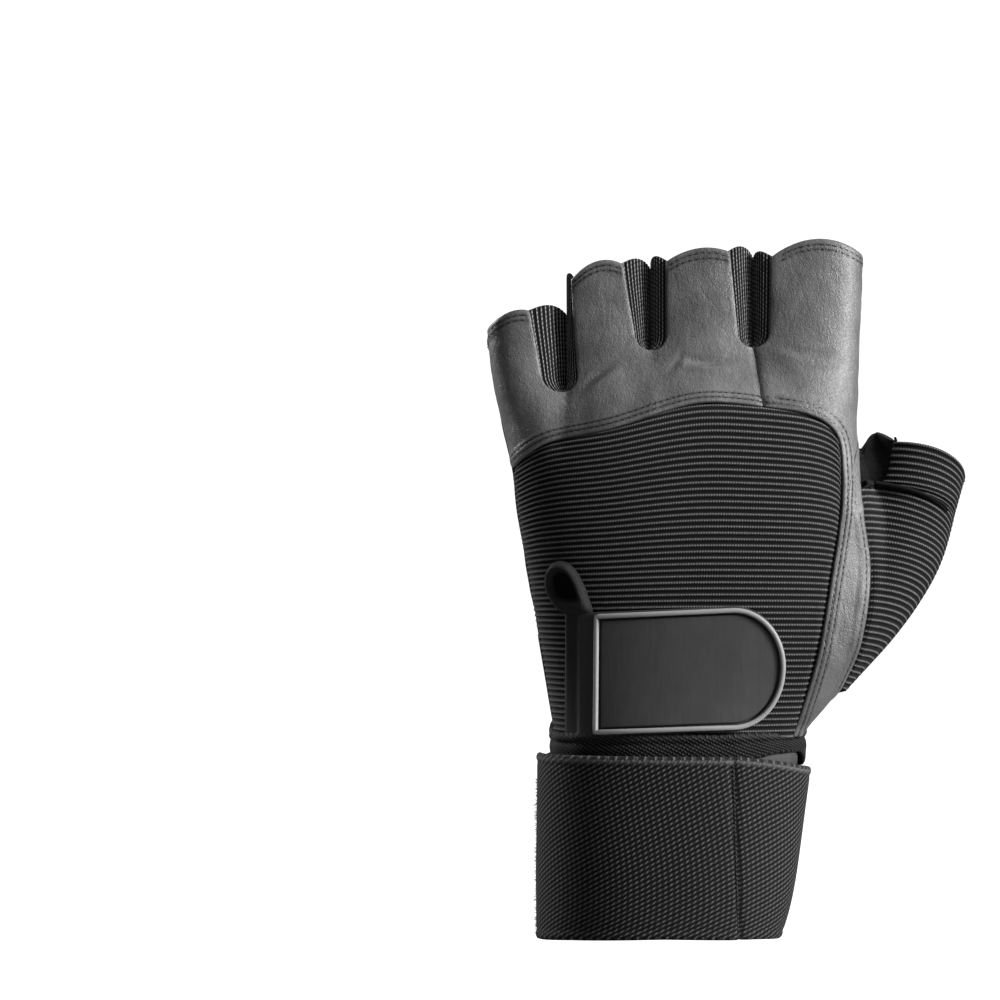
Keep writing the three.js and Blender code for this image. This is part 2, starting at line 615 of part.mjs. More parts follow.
// Ribbed stretch panel over the back of the hand.
function backStretchPanel() {
  const split = 1 - CORNER_STEPS / PANEL_STEPS;
  const index = seam(INDEX_SEAM);
  const top = chain([seam(KNUCKLE_SEAM), part(index, 0, INDEX_SEAM_CORNER)], [split, 1]);
  const left = silhouetteLine(0, KNUCKLE_SEAM[0].up, 0);
  const right = part(index, INDEX_SEAM_CORNER, 1);
  const grid = fillEdges(top, straight(left(1), right(1)), left, right, PANEL_STEPS, PANEL_STEPS);
  const eased = drawnIn(grid, 2 * SEAM_GAP, ['top', 'right']);
  return sheet(eased, 'back', STRETCH, { rim: (r, c) => c === 0 });
}

// Fourchette between finger i and the next: from slot edge to slot edge round both finger walls.
function fourchette(i) {
  const back = slotOutline(i, 'back', 2 * SEAM_GAP);
  const palm = slotOutline(i, 'palm', 2 * SEAM_GAP);
  const lineOf = (slot) => [...slot.left, ...slot.arc.slice(1, -1), ...slot.right.slice().reverse()];
  const backLine = lineOf(back);
  const palmLine = lineOf(palm);
  const meet = FINGERS[i].edge * PALM_WIDTH;
  const last = backLine.length - 1;
  const columns = backLine.map((p, k) => {
    const q = palmLine[k];
    const a = onSurface(p.x, p.y, 'back');
    const b = onSurface(q.x, q.y, 'palm');
    const middle = a.clone().lerp(b, 0.5);
    const onLeg = k <= LEG_STEPS || k >= last - LEG_STEPS;
    const turn = Math.PI * clamp((k - LEG_STEPS) / ARC_STEPS);
    const hub = meet - FINGER_PARTING * Math.cos(turn);
    const rise = onLeg ? 0 : WEB_RISE * Math.sin(turn);
    return steps(WALL_STEPS).map((v) => {
      const angle = Math.PI * v;
      const bulge = Math.sin(angle) ** WALL_BULGE;
      const point = a.clone().lerp(b, (1 - Math.cos(angle)) / 2);
      point.x += (hub - middle.x) * bulge;
      point.z += rise * bulge;
      return point;
    });
  });
  const rows = steps(WALL_STEPS).map((_, v) => columns.map((column) => column[v]));
  return gridSolid(rows, FOURCHETTE, { flip: true });
}

// Lower edge of the palm sheets: along the heel and up the thumb's border.
function palmFoot() {
  return chain([seam(PALM_EDGE), reversed(seam(THUMB_BORDER))], [FOOT_SPLIT, 1]);
}

// Right edge of the palm sheets: the index finger's silhouette, then the edge of the web.
function palmEdge(margin, drop) {
  const above = LEG_STEPS + PALM_STEPS - WEB_STEPS;
  const side = silhouetteLine(1, upShare(lipHeight(FINGERS[3], 1, 'palm') - drop), WEB_PALM_EDGE[0].up);
  const web = seam(WEB_PALM_EDGE);
  return (row) => {
    if (row <= above) return side(row / above).add(new THREE.Vector2(-margin, 0));
    return web((row - above) / WEB_STEPS);
  };
}

function palmGrid(drop, margin) {
  return strippedGrid({
    side: 'palm', first: 0, last: 3, foot: palmFoot(), down: PALM_STEPS, drop, margin,
    edge: palmEdge(margin, drop),
  });
}

// Leather of the palm and the finger fronts.
function palmLeather() {
  const grid = palmGrid(0, 0);
  const end = grid.rows[0].length - 1;
  const above = LEG_STEPS + PALM_STEPS - WEB_STEPS;
  const rows = drawnIn(grid.rows, SEAM_GAP, ['bottom']);
  const rim = (r, c) => c === 0 || (c === end && r <= above);
  return sheet(rows, 'palm', LEATHER, { rim, skip: grid.skip });
}

// Suede facing laid over the palm leather.
function palmSuede() {
  const grid = palmGrid(SUEDE_DROP, SUEDE_MARGIN);
  const rows = drawnIn(grid.rows, 2 * SEAM_GAP, ['bottom']);
  return sheet(rows, 'palm', SUEDE, { lift: SUEDE_GAP + SUEDE, skip: grid.skip });
}

// Leather of the heel of the hand, between the suede and the cuff.
function heelLeather() {
  const corner = silhouetteLine(1, STRIP_END, 0);
  const seamEnd = seam(HEEL_SEAM)(1);
  const top = chain([seam(PALM_EDGE), seam(HEEL_SEAM), straight(seamEnd, corner(0))], HEEL_SPLITS);
  const left = silhouetteLine(0, PALM_EDGE[0].up, 0);
  const bottom = straight(left(1), corner(1));
  const grid = fillEdges(top, bottom, left, corner, PANEL_STEPS + 2, STRIP_STEPS);
  const rows = drawnIn(grid, 3 * SEAM_GAP, ['top']);
  return sheet(rows, 'palm', LEATHER, { rim: (r, c) => c === 0 || c === PANEL_STEPS + 2 });
}

// Leather of the thumb's front and the ball of the thumb.
function thumbPalmLeather() {
  const outer = seam(THUMB_SEAM);
  const inner = seam(THUMB_BORDER);
  const top = straight(outer(0), inner(0));
  const bottom = reversed(seam(HEEL_SEAM));
  const grid = fillEdges(top, bottom, outer, inner, STRIP_STEPS + 2, THUMB_STEPS);
  const rows = drawnIn(grid, 2 * SEAM_GAP, ['left', 'right', 'bottom']);
  return sheet(rows, 'palm', LEATHER, { flip: false });
}

// Ribbed stretch of the thumb: from the back strip round the outside to the thumb's front seam.
function thumbBackStretch() {
  const strip = seam(STRIP_EDGE);
  const backLine = chain([reversed(seam(WEB_FOOT)), part(strip, STRIP_UNDER_WEB, 1)], [THUMB_SPLIT, 1]);
  const frontLine = seam(THUMB_SEAM);
  const half = THUMB_STEPS / 2;
  const rows = steps(THUMB_STEPS).map((v) => {
    const a = backLine(v);
    const b = frontLine(v);
    const side = upTo(mix(THUMB_CORNER, STRIP_END, v));
    const thumb = thumbSection(side);
    const tip = new THREE.Vector2(thumb.x + thumb.half, side);
    const arc = (from, name) => steps(half).map((t) => {
      const x = mix(from.x, tip.x, Math.sin((Math.PI / 2) * t));
      const z = mix(from.y, tip.y, 1 - Math.cos((Math.PI / 2) * t));
      return onSurface(x, z, name);
    });
    const backHalf = arc(a, 'back');
    const frontHalf = arc(b, 'palm').slice(0, -1).reverse();
    backHalf[half].y = thumb.y;
    return [...backHalf, ...frontHalf];
  });
  const lowered = drawnIn(rows, 4 * SEAM_GAP, ['bottom']);
  return gridSolid(drawnIn(lowered, 2 * SEAM_GAP, ['left']), STRETCH);
}

// Suede web from the back strip over the fork of the thumb to the palm.
function webSuede() {
  const foot = seam(WEB_FOOT);
  const crest = seam(WEB_CREST);
  const front = seam(WEB_PALM_EDGE);
  const place = (line, side) => steps(STRIP_STEPS).map((t) => {
    const p = line(mix(WEB_MARGIN, 1 - WEB_MARGIN, t));
    return onSurface(p.x, p.y, side);
  });
  const blend = (a, b, t) => a.map((p, k) => p.clone().lerp(b[k], t));
  const backFoot = place(foot, 'back');
  const backCrest = place(crest, 'back');
  const frontCrest = place(crest, 'palm');
  const frontFoot = place(front, 'palm');
  const rows = [
    backFoot, blend(backFoot, backCrest, 0.5), backCrest, blend(backCrest, frontCrest, 0.5),
    frontCrest, frontFoot,
  ];
  const drawn = drawnIn(rows, 2 * SEAM_GAP);
  return gridSolid(drawn.reverse(), SUEDE);
}

// Point of the wrist ring: turn 0 is the little-finger side, a quarter turn on is the back.
function ringPoint(turn, z, out) {
  const low = clamp(1 - z / WRAP_HEIGHT);
  const taper = WRIST_TAPER * low + HEM_TAPER * low ** HEM_POWER;
  const angle = 2 * Math.PI * turn;
  const power = 2 / BODY_FULLNESS;
  const c = Math.sign(Math.cos(angle)) * Math.abs(Math.cos(angle)) ** power;
  const s = Math.sign(Math.sin(angle)) * Math.abs(Math.sin(angle)) ** power;
  const x = WRIST_SHIFT - taper / 2 - (WRIST_WIDTH / 2 - taper / 2 + out) * c;
  return new THREE.Vector3(x, -(WRIST_DEPTH / 2 + out) * s, z);
}

// Plain ring of cloth between two heights.
function ring(from, to, out, wall) {
  const rows = steps(2).map((v) => steps(RING_STEPS).slice(0, -1).map((t) => {
    return ringPoint(t, mix(to, from, v), out);
  }));
  return gridSolid(rows, wall, { closed: true });
}

// Elastic wrap wound from the facing outwards; its free end lies at the little-finger side.
function wristWrap() {
  const count = Math.round(RING_STEPS * WRAP_TURNS);
  const rows = WRAP_ROWS.map((share) => steps(count).map((t) => {
    const turn = FREE_END + WRAP_TURNS * t;
    return ringPoint(turn, share * WRAP_HEIGHT, WRAP_OUT + WRAP_PITCH * WRAP_TURNS * (1 - t));
  }));
  return gridSolid(rows, WEBBING);
}

// Hook tape sewn under the wrap's free end, showing just past it.
function wrapHookPatch() {
  const around = WRIST_WIDTH * WRIST_ROUND;
  const out = WRAP_OUT + WRAP_PITCH * (WRAP_TURNS - 1) + LAYER_GAP + HOOK_TAPE;
  const start = FREE_END - HOOK_LENGTH / around;
  const end = FREE_END - 2 * SEAM_GAP / around;
  const rows = steps(3).map((v) => steps(3).map((t) => {
    const z = mix(WRAP_HEIGHT - HOOK_INSET, HOOK_INSET, v);
    return ringPoint(mix(start, end, t), z, out);
  }));
  return gridSolid(rows, HOOK_TAPE);
}

// Edge lines of the strap's outline: straight end at the left, round tip at the right.
function strapLines(inset, tab) {
  const left = STRAP_LEFT + inset - tab;
  const tipStart = STRAP_LEFT + STRAP_LENGTH - STRAP_TIP;
  const tip = STRAP_TIP - inset;
  const half = STRAP_HEIGHT / 2 - inset;
  const middle = (x) => STRAP_FLOOR + STRAP_HEIGHT / 2 + STRAP_RISE * (x - STRAP_LEFT);
  const edge = (x, sign) => new THREE.Vector2(x, middle(x) + sign * half);
  const round = (t) => {
    const angle = Math.PI / 2 - Math.PI * t;
    const x = tipStart + tip * Math.cos(angle);
    return new THREE.Vector2(x, middle(x) + half * Math.sin(angle));
  };
  return {
    top: (t) => edge(mix(left, tipStart, t), 1),
    bottom: (t) => edge(mix(left, tipStart, t), -1),
    left: straight(edge(left, 1), edge(left, -1)),
    right: round,
  };
}

// Flat sheet in the strap's outline at a lift over the stretch panel.
function strapSheet(inset, tab, lift, wall) {
  const lines = strapLines(inset, tab);
  const grid = fillEdges(lines.top, lines.bottom, lines.left, lines.right, STRAP_STEPS, STRAP_STEPS - 2);
  return sheet(grid, 'back', wall, { lift });
}

// Raised edging round the plate.
function strapPiping() {
  const loop = (inset) => {
    const lines = strapLines(inset, 0);
    const run = [
      ...steps(STRAP_STEPS - 2).slice(0, -1).map(lines.top),
      ...steps(STRAP_STEPS).slice(0, -1).map(lines.right),
      ...steps(STRAP_STEPS - 2).slice(0, -1).map(reversed(lines.bottom)),
      ...steps(STRAP_STEPS / 2).slice(0, -1).map(reversed(lines.left)),
    ];
    return run.map((p) => onSurface(p.x, p.y, 'back', PIPING_LIFT));
  };
  return gridSolid([loop(0), loop(PIPING_WIDTH)], PIPING, { closed: true });
}

// Webbing loop at the strap's upper left corner.
function pullLoop() {
  const root = new THREE.Vector2(STRAP_LEFT - LOOP_SHIFT, STRAP_FLOOR + STRAP_HEIGHT + LOOP_WALL / 2);
  const lean = Math.PI * LOOP_LEAN;
  const rows = [0, 0.5, 1].map((v) => steps(LOOP_STEPS).slice(0, -1).map((t) => {
    const angle = 2 * Math.PI * t;
    const run = (LOOP_LENGTH * (1 - Math.cos(angle))) / 2;
    const spread = (LOOP_SPREAD / 2) * Math.sin(angle) * Math.sqrt((1 - Math.cos(angle)) / 2 + LOOP_NECK);
    const x = root.x + run * Math.cos(lean) + spread * Math.sin(lean);
    const z = root.y + run * Math.sin(lean) - spread * Math.cos(lean);
    return onSurface(x, z, 'back', LAYER_GAP + LOOP_WIDTH * v);
  }));
  return gridSolid(rows, LOOP_WALL, { closed: true, flip: true });
}

const group = new THREE.Group();

function add(name, geometry, look) {
  const mesh = new THREE.Mesh(geometry, new THREE.MeshStandardMaterial(COLOURS[look]));
  mesh.name = name;
  group.add(mesh);
}

add('back_knuckle_leather', backKnuckleLeather(), 'backLeather');
add('back_index_leather', backIndexLeather(), 'backLeather');
add('back_stretch_panel', backStretchPanel(), 'stretch');
FINGERS.slice(1).forEach((finger, i) => {
  add(`fourchette_${FINGERS[i].name}_${finger.name}`, fourchette(i), 'stretch');
});
add('palm_leather', palmLeather(), 'palmLeather');
add('palm_suede', palmSuede(), 'suede');
add('heel_leather', heelLeather(), 'palmLeather');
add('thumb_palm_leather', thumbPalmLeather(), 'palmLeather');
add('thumb_back_stretch', thumbBackStretch(), 'stretch');
add('web_suede', webSuede(), 'suede');
add('cuff_band', ring(CUFF_FLOOR, CUFF_FLOOR + CUFF_HEIGHT, CUFF_OUT, BAND), 'webbing');
add('cuff_facing', ring(WRAP_HEIGHT - FACING_TUCK, CUFF_FLOOR + CUFF_HEIGHT, FACING_OUT, FACING), 'facing');
add('wrist_wrap', wristWrap(), 'webbing');
add('wrap_hook_patch', wrapHookPatch(), 'hook');
add('strap_base', strapSheet(0, STRAP_TAB, BASE_LIFT, STRAP_BASE), 'webbing');
add('strap_plate', strapSheet(PIPING_WIDTH + SEAM_GAP, 0, PLATE_LIFT, PLATE), 'plate');
add('strap_piping', strapPiping(), 'piping');
add('pull_loop', pullLoop(), 'webbing');

export default group;
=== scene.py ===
"""Weightlifting glove, left hand: leather, suede and ribbed stretch with an elastic wrist wrap.

The shapes are worked out in millimetres and become metres when a mesh is made.
+Z points to the fingertips, the back of the hand faces -Y and the thumb is at +X.
"""

import bpy
import numpy as np
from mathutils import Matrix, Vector


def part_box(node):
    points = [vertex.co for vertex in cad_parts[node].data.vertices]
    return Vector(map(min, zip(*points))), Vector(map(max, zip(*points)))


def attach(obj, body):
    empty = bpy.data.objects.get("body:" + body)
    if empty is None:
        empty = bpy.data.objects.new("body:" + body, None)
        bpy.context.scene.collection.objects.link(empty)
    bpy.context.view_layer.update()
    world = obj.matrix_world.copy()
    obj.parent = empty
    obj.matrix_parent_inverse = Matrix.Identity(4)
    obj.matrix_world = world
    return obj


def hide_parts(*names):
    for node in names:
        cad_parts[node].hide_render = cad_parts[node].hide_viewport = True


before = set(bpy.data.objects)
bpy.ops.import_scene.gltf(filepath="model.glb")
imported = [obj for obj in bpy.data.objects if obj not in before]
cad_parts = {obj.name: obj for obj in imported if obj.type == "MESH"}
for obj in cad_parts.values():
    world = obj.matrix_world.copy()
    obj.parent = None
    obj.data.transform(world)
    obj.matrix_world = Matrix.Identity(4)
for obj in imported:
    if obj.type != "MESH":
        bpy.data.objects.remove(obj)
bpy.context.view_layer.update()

MM = 0.001

# Sizes of the glove, as in the part's source
PALM_WIDTH = 114.0
PALM_DEPTH = 48.0
HAND_LENGTH = 148.0
FINGER_DEPTH = 20.0
FINGER_CURL = 9.0
PALM_LIP_DROP = 2.5
PALM_HOLLOW = 3.0
THUMB_WIDTH = 31.0
THUMB_DEPTH = 26.0
THUMB_LEAN = 12.0
WRIST_WIDTH = 68.0
WRIST_DEPTH = 43.0
WRIST_SHIFT = 0.8
WRIST_TAPER = 7.0
HEM_TAPER = 3.0
WRAP_TURNS = 1.75
FULLNESS = 2.3
FINGER_FULLNESS = 2.0
VALLEY_SHARE = 0.66
CROTCH_FADE = 24.0
CROTCH_RISE = 12.0
BLEND = 3.0
SKIRT = 1.5
THUMB_CORNER = 0.515
FINGER_PARTING = 0.2
WEB_RISE = 3.0

# The wrap: its inner end's distance from the wrist, its growth in a turn, and the turn and places
# across of its sewn line
WRAP_OFFSET = 3.5
TURN_GROWTH = 2.4
SEAM_TURN = 0.3
SEAM_OUT = WRAP_OFFSET + TURN_GROWTH * (WRAP_TURNS - SEAM_TURN)
WRAP_SEAM_HIGH, WRAP_SEAM_LOW = 16.4, 18.2
WRIST_ROUND = 190.0

# Height at which the thumb stops counting and the run of its fade, as shares of HAND_LENGTH
THUMB_END = (0.605, 0.06)
WEB_END = (0.66, 0.05)

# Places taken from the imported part
WRAP_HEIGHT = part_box("wrist_wrap")[1].z / MM
CUFF_LOW, CUFF_HIGH = (corner.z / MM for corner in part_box("cuff_band"))
HAND_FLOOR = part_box("back_stretch_panel")[0].z / MM

# Strap on the back; its dark hem begins STRAP_HEM to the left of the plate
STRAP_LEFT = -23.8
STRAP_LENGTH = 55.3
STRAP_HEIGHT = 35.8
STRAP_TIP = 15.5
STRAP_RISE = 0.045
STRAP_FLOOR = HAND_FLOOR + 0.6
STRAP_HEM = 5.2

# Walls of the sheets
LEATHER = 1.2
STRETCH = 1.2
SUEDE = 1.0
WEBBING = 2.0

# Mesh steps
FINGER_STEPS = 22
ARC_STEPS = 20
LEG_STEPS = 44
BODY_STEPS = 56

# Rows of the thread work, counted from a sewn edge, and the thread's own sizes
SEAM_ROWS = (1.0, 2.5)
BACK_LIP_ROWS = (1.4, 2.9)
PALM_LIP_ROWS = (1.3, 2.9)
STITCH_PITCH = 1.95
THREAD_HEIGHT = 0.34
THREAD_SINK = 0.02

# Ribs: their pitch on the back, and their number on a finger wall and round the thumb
RIB_PITCH = 1.74
WALL_RIBS = 22
THUMB_RIBS = 44

# Rims of the walls: their bulge as a share of the wall, and the steps round them
RIM_BULGE = 0.4
RIM_STEPS = 4

# Suede laid over the palm: how far its mouths lie lower and its slots are wider
SUEDE_DROP = 8.0
SUEDE_MARGIN = 1.9

# Least step between columns at a silhouette, rows of the pull loop, least side of a cut in metres
LEAST_STEP = 0.12
LOOP_ROWS = 25
SMALLEST_CUT = 0.0101


def table(names, *rows):
    """Columns of a table by name, as arrays."""
    return dict(zip(names.split(), np.array(rows, float).T))


# Hand sections: up is a share of HAND_LENGTH, left and right of PALM_WIDTH, depths of PALM_DEPTH
SECTIONS = table(
    "up left right back palm",
    (0.0, -0.317, 0.331, 0.508, 0.508),
    (0.09, -0.335, 0.43, 0.5, 0.51),
    (0.16, -0.35, 0.5, 0.5, 0.53),
    (0.25, -0.37, 0.535, 0.5, 0.55),
    (0.43, -0.41, 0.545, 0.49, 0.54),
    (0.54, -0.43, 0.5, 0.47, 0.5),
    (0.61, -0.45, 0.48, 0.45, 0.46),
    (0.7, -0.475, 0.484, 0.41, 0.42),
    (0.8, -0.492, 0.49, 0.36, 0.37),
    (1.0, -0.5, 0.5, 0.33, 0.33),
)

# Finger stalls, from the little finger to the index finger
FINGERS = table(
    "edge depth left right crown",
    (-0.28, 0.86, 0.82, 0.855, 0.013),
    (-0.06, 0.96, 0.92, 0.95, 0.02),
    (0.21, 1.0, 0.955, 0.975, 0.016),
    (0.5, 1.0, 0.965, 0.97, 0.033),
)

# Slots between the fingers
SLOTS = {
    "back": table(
        "top_left top_right low_left low_right middle floor",
        (-0.385, -0.27, -0.355, -0.255, -0.3, 0.69),
        (-0.14, -0.02, -0.108, -0.02, -0.064, 0.775),
        (0.142, 0.256, 0.162, 0.25, 0.205, 0.78),
    ),
    "palm": table(
        "top_left top_right low_left low_right middle floor",
        (-0.31, -0.24, -0.3, -0.225, -0.262, 0.67),
        (-0.085, 0.005, -0.07, 0.01, -0.03, 0.735),
        (0.19, 0.275, 0.2, 0.275, 0.238, 0.745),
    ),
}

# Thumb stall: half width and half depth as shares of the thumb's sizes
THUMB = table(
    "up across half deep lean",
    (0.02, 0.25, 0.45, 0.62, 0.05),
    (0.11, 0.33, 0.54, 0.7, 0.15),
    (0.19, 0.41, 0.6, 0.74, 0.25),
    (0.27, 0.48, 0.63, 0.72, 0.4),
    (0.35, 0.545, 0.6, 0.66, 0.6),
    (0.47, 0.61, 0.53, 0.55, 0.85),
    (0.6, 0.67, 0.49, 0.5, 1.0),
)

# Seam lines: a share of PALM_WIDTH across and of HAND_LENGTH up
KNUCKLE_SEAM = [(-0.43, 0.54), (-0.34, 0.59), (-0.17, 0.62), (0.05, 0.67), (0.225, 0.665)]
INDEX_SEAM = [(0.225, 0.665), (0.34, 0.65), (0.41, 0.62), (0.436, 0.57), (0.435, 0.46), (0.41, 0.33),
              (0.37, 0.16), (0.31, 0.0)]
STRIP_EDGE = [(0.481, 0.6), (0.486, 0.46), (0.505, 0.35), (0.497, 0.26), (0.475, 0.17), (0.43, 0.09)]
THUMB_SEAM = [(0.69, 0.485), (0.61, 0.38), (0.51, 0.26), (0.4, 0.14), (0.33, 0.075)]
THUMB_BORDER = [(0.55, 0.545), (0.52, 0.44), (0.42, 0.35), (0.27, 0.265), (0.115, 0.225)]
HEEL_SEAM = [(0.115, 0.225), (0.14, 0.13), (0.22, 0.08), (0.33, 0.075)]
PALM_EDGE = [(-0.36, 0.2), (-0.2, 0.2), (0.115, 0.225)]
WEB_FOOT = [(0.488, 0.5), (0.525, 0.503), (0.554, 0.514), (0.567, 0.545), (0.579, 0.59)]
WEB_CREST = [(0.484, 0.56), (0.505, 0.585), (0.54, 0.607), (0.581, 0.595)]
WEB_PALM_EDGE = [(0.481, 0.572), (0.51, 0.566), (0.55, 0.545)]


# Numbers and lines

def mix(a, b, t):
    """Straight from a at t = 0 to b at t = 1."""
    return a + (b - a) * t


def clamp(t):
    """Held between 0 and 1."""
    return np.clip(t, 0.0, 1.0)


def span(count):
    """Even steps from 0 to 1."""
    return np.linspace(0, 1, count)


def unit(v):
    """Directions of length one."""
    return v / np.maximum(np.linalg.norm(v, axis=-1, keepdims=True), 1e-12)


def signed_power(v, power):
    """A power that keeps the sign."""
    return np.sign(v) * np.abs(v) ** power


def ease(t):
    """Smooth step: three times the square less twice the cube, held between 0 and 1."""
    t = clamp(t)
    return t * t * (3 - 2 * t)


def dome(s, power):
    """A superellipse's height: 1 at s = 0, 0 and upright at s = -1 and 1."""
    return (1 - np.minimum(np.abs(s), 1.0) ** power) ** (1 / power)


def bell(d, width):
    """A soft ridge round d = 0: e to the power of minus the square of d over width."""
    return np.exp(-((d / width) ** 2))


def up_to(share):
    """Height of a share of the hand."""
    return HAND_FLOOR + share * HAND_LENGTH


def up_share(z):
    """Share of the hand at a height."""
    return (z - HAND_FLOOR) / HAND_LENGTH


def along(rows, column, place):
    """Smooth value of a table's column: a cubic through its rows with the neighbours' slopes."""
    ups, values = rows["up"], rows[column]
    last = len(ups) - 1
    t = np.clip(place, ups[0], ups[last])
    k = np.clip(np.searchsorted(ups, t), 1, last)
    low, high = np.maximum(np.arange(last + 1) - 1, 0), np.minimum(np.arange(last + 1) + 1, last)
    slopes = (values[high] - values[low]) / (ups[high] - ups[low])
    span = ups[k] - ups[k - 1]
    s = (t - ups[k - 1]) / span
    rise = s * s * (3 - 2 * s)
    start = slopes[k - 1] * span * s * (1 - s) ** 2
    end = slopes[k] * span * s * s * (1 - s)
    return mix(values[k - 1], values[k], rise) + start - end


def run_along(points):
    """Length along a line of points, from 0 at the first."""
    return np.concatenate([[0.0], np.cumsum(np.linalg.norm(np.diff(points, axis=0), axis=1))])


def sampled(points, run, place):
    """Points of a line at given lengths along it."""
    return np.stack([np.interp(place, run, points[:, k]) for k in range(points.shape[1])], axis=-1)


def by_length(points):
    """A polyline as a function of the share of its length."""
    points = np.asarray(points, float)
    run = run_along(points)

    def at(t):
        return sampled(points, run, clamp(np.asarray(t, float)) * run[-1])

    at.length = run[-1]
    return at


def cubic(a, b, c, d, t):
    """From b to c: a cubic whose slope at a point is half the step between its neighbours."""
    return b + 0.5 * ((c - a) * t + (2 * a - 5 * b + 4 * c - d) * t**2 + (3 * b - a - 3 * c + d) * t**3)


def through(keys, count):
    """Cubics through a row of points, or of lines, with both ends repeated."""
    keys = np.asarray(keys, float)
    q = np.concatenate([keys[:1], keys, keys[-1:]])
    t = span(count).reshape((-1,) + (1,) * (keys.ndim - 1))
    runs = [cubic(*four, t) for four in zip(q[:-3], q[1:-2], q[2:-1], q[3:])]
    return np.concatenate([runs[0][:1]] + [run[1:] for run in runs])


def seam(points):
    """Smooth line through listed points, given as shares."""
    return by_length(through(np.array(points) * (PALM_WIDTH, HAND_LENGTH) + (0.0, HAND_FLOOR), 40))


def shifted_line(points, distance):
    """A flat line moved sideways, to the right of its own direction."""
    run = unit(np.gradient(points, axis=0))
    return points + distance * np.stack([run[:, 1], -run[:, 0]], axis=1)


def chain(lines, at):
    """Several lines one after the other; at gives the share where each one ends."""
    starts = [0.0] + list(at[:-1])

    def line(t):
        t = np.atleast_1d(np.asarray(t, float))
        out = np.zeros((len(t), 2))
        for part, low, high in zip(lines, starts, at):
            here = (t >= low) & (t <= high)
            out[here] = part((t[here] - low) / (high - low))
        return out

    return line


def reverse(line):
    """A line run through backwards."""
    return lambda t: line(1 - np.asarray(t, float))


def part_of(line, low, high):
    """A line between two of its shares."""
    return lambda t: line(mix(low, high, np.asarray(t, float)))


def straight(a, b):
    """The straight line between two points."""
    return lambda t: mix(np.asarray(a), np.asarray(b), np.asarray(t, float)[..., None])


def fill_edges(top, bottom, left, right, across, down):
    """Flat grid between four edge lines: the ruled surface from top to bottom, with the errors at
    the left and right edge spread linearly across it."""
    u, v = span(across + 1), span(down + 1)
    t, b, lf, r = top(u), bottom(u), left(v), right(v)
    ruled = mix(t[None], b[None], v[:, None, None])
    miss_left = lf - mix(t[:1], b[:1], v[:, None])
    miss_right = r - mix(t[-1:], b[-1:], v[:, None])
    return ruled + miss_left[:, None] * (1 - u)[None, :, None] + miss_right[:, None] * u[None, :, None]


# The glove's outer surface

def silhouettes(z):
    """Left and right edge of the hand at a height."""
    up = up_share(z)
    return along(SECTIONS, "left", up) * PALM_WIDTH, along(SECTIONS, "right", up) * PALM_WIDTH


def side_line(z, which, inset=0.0):
    """Flat line on the left (0) or the right (1) edge of the hand, moved inwards by inset."""
    return np.stack([silhouettes(z)[which] + (1 - 2 * which) * inset, z], axis=1)


def curl(z):
    """How far the fingers lean to the palm side: a power of the share above the knuckles."""
    return FINGER_CURL * clamp((up_share(z) - 0.55) / 0.45) ** 1.6


def hand_depth(x, z, side):
    """Superellipse across the hand, less a hollow in the middle of the palm."""
    left, right = silhouettes(z)
    s = (2 * x - left - right) / (right - left)
    depth = along(SECTIONS, side, up_share(z)) * PALM_DEPTH * dome(s, FULLNESS)
    if side == "palm":
        depth = depth - PALM_HOLLOW * np.maximum(0, 1 - 3 * s * s) * ease(1 - up_share(z))
    return depth


def finger_depth(x, z, formed):
    """A row of ovals, with a valley left between two fingers: superellipses where the fingers are
    fully formed, cosines where they run out into the hand."""
    left, right = silhouettes(z)
    edges = FINGERS["edge"] * PALM_WIDTH
    i = np.minimum(np.searchsorted(edges, x, side="right"), 3)
    low = np.where(i == 0, left, edges[np.maximum(i - 1, 0)])
    high = np.where(i == 3, right, edges[i])
    s = (2 * x - low - high) / (high - low)
    outer = ((i == 0) & (s < 0)) | ((i == 3) & (s > 0))
    valley = np.where(outer, 0.0, VALLEY_SHARE)
    soft = np.where(outer, dome(s, FULLNESS), 0.5 + 0.5 * np.cos(np.pi * np.clip(s, -1, 1)))
    full = dome(s, np.where(outer, FULLNESS, FINGER_FULLNESS))
    return FINGER_DEPTH / 2 * FINGERS["depth"][i] * mix(valley, 1, mix(soft, full, formed**2))


def thumb_section(z):
    """The thumb's oval at a height: its middle, its lean to the palm side, its half width and
    half depth."""
    up = up_share(z)
    return (along(THUMB, "across", up) * PALM_WIDTH, along(THUMB, "lean", up) * THUMB_LEAN,
            along(THUMB, "half", up) * THUMB_WIDTH, along(THUMB, "deep", up) * THUMB_DEPTH)


def surface_y(x, z, side):
    """Depth of the outer surface: the hand's superellipse, which turns into the row of fingers
    above the crotch line, joined to the thumb's oval by a soft maximum."""
    x, z = np.broadcast_arrays(np.asarray(x, float), np.asarray(z, float))
    sign = -1.0 if side == "back" else 1.0
    slots = SLOTS[side]
    crotch = up_to(np.interp(x / PALM_WIDTH, slots["middle"], slots["floor"]))
    fingers = ease((z - crotch + CROTCH_FADE) / (CROTCH_FADE + CROTCH_RISE))
    right = silhouettes(z)[1]
    hand = sign * curl(z) + mix(hand_depth(x, z, side), finger_depth(x, z, fingers), fingers)
    hand = hand - SKIRT * np.maximum(0, x - right)
    middle, lean, half, deep = thumb_section(z)
    s = (x - middle) / half
    thumb = sign * lean + deep * dome(s, 2) - SKIRT * half * np.maximum(0, -1 - s)
    top = np.maximum(hand, thumb)
    joined = top + BLEND * np.log(np.exp((hand - top) / BLEND) + np.exp((thumb - top) / BLEND))
    on_hand, past_it = (ease((up_to(end) - z) / (HAND_LENGTH * run)) for end, run in (THUMB_END, WEB_END))
    near = mix(on_hand * ease((x - PALM_WIDTH * 0.05) / 12), past_it, ease((x - right) / 2))
    return sign * mix(hand, joined, near)


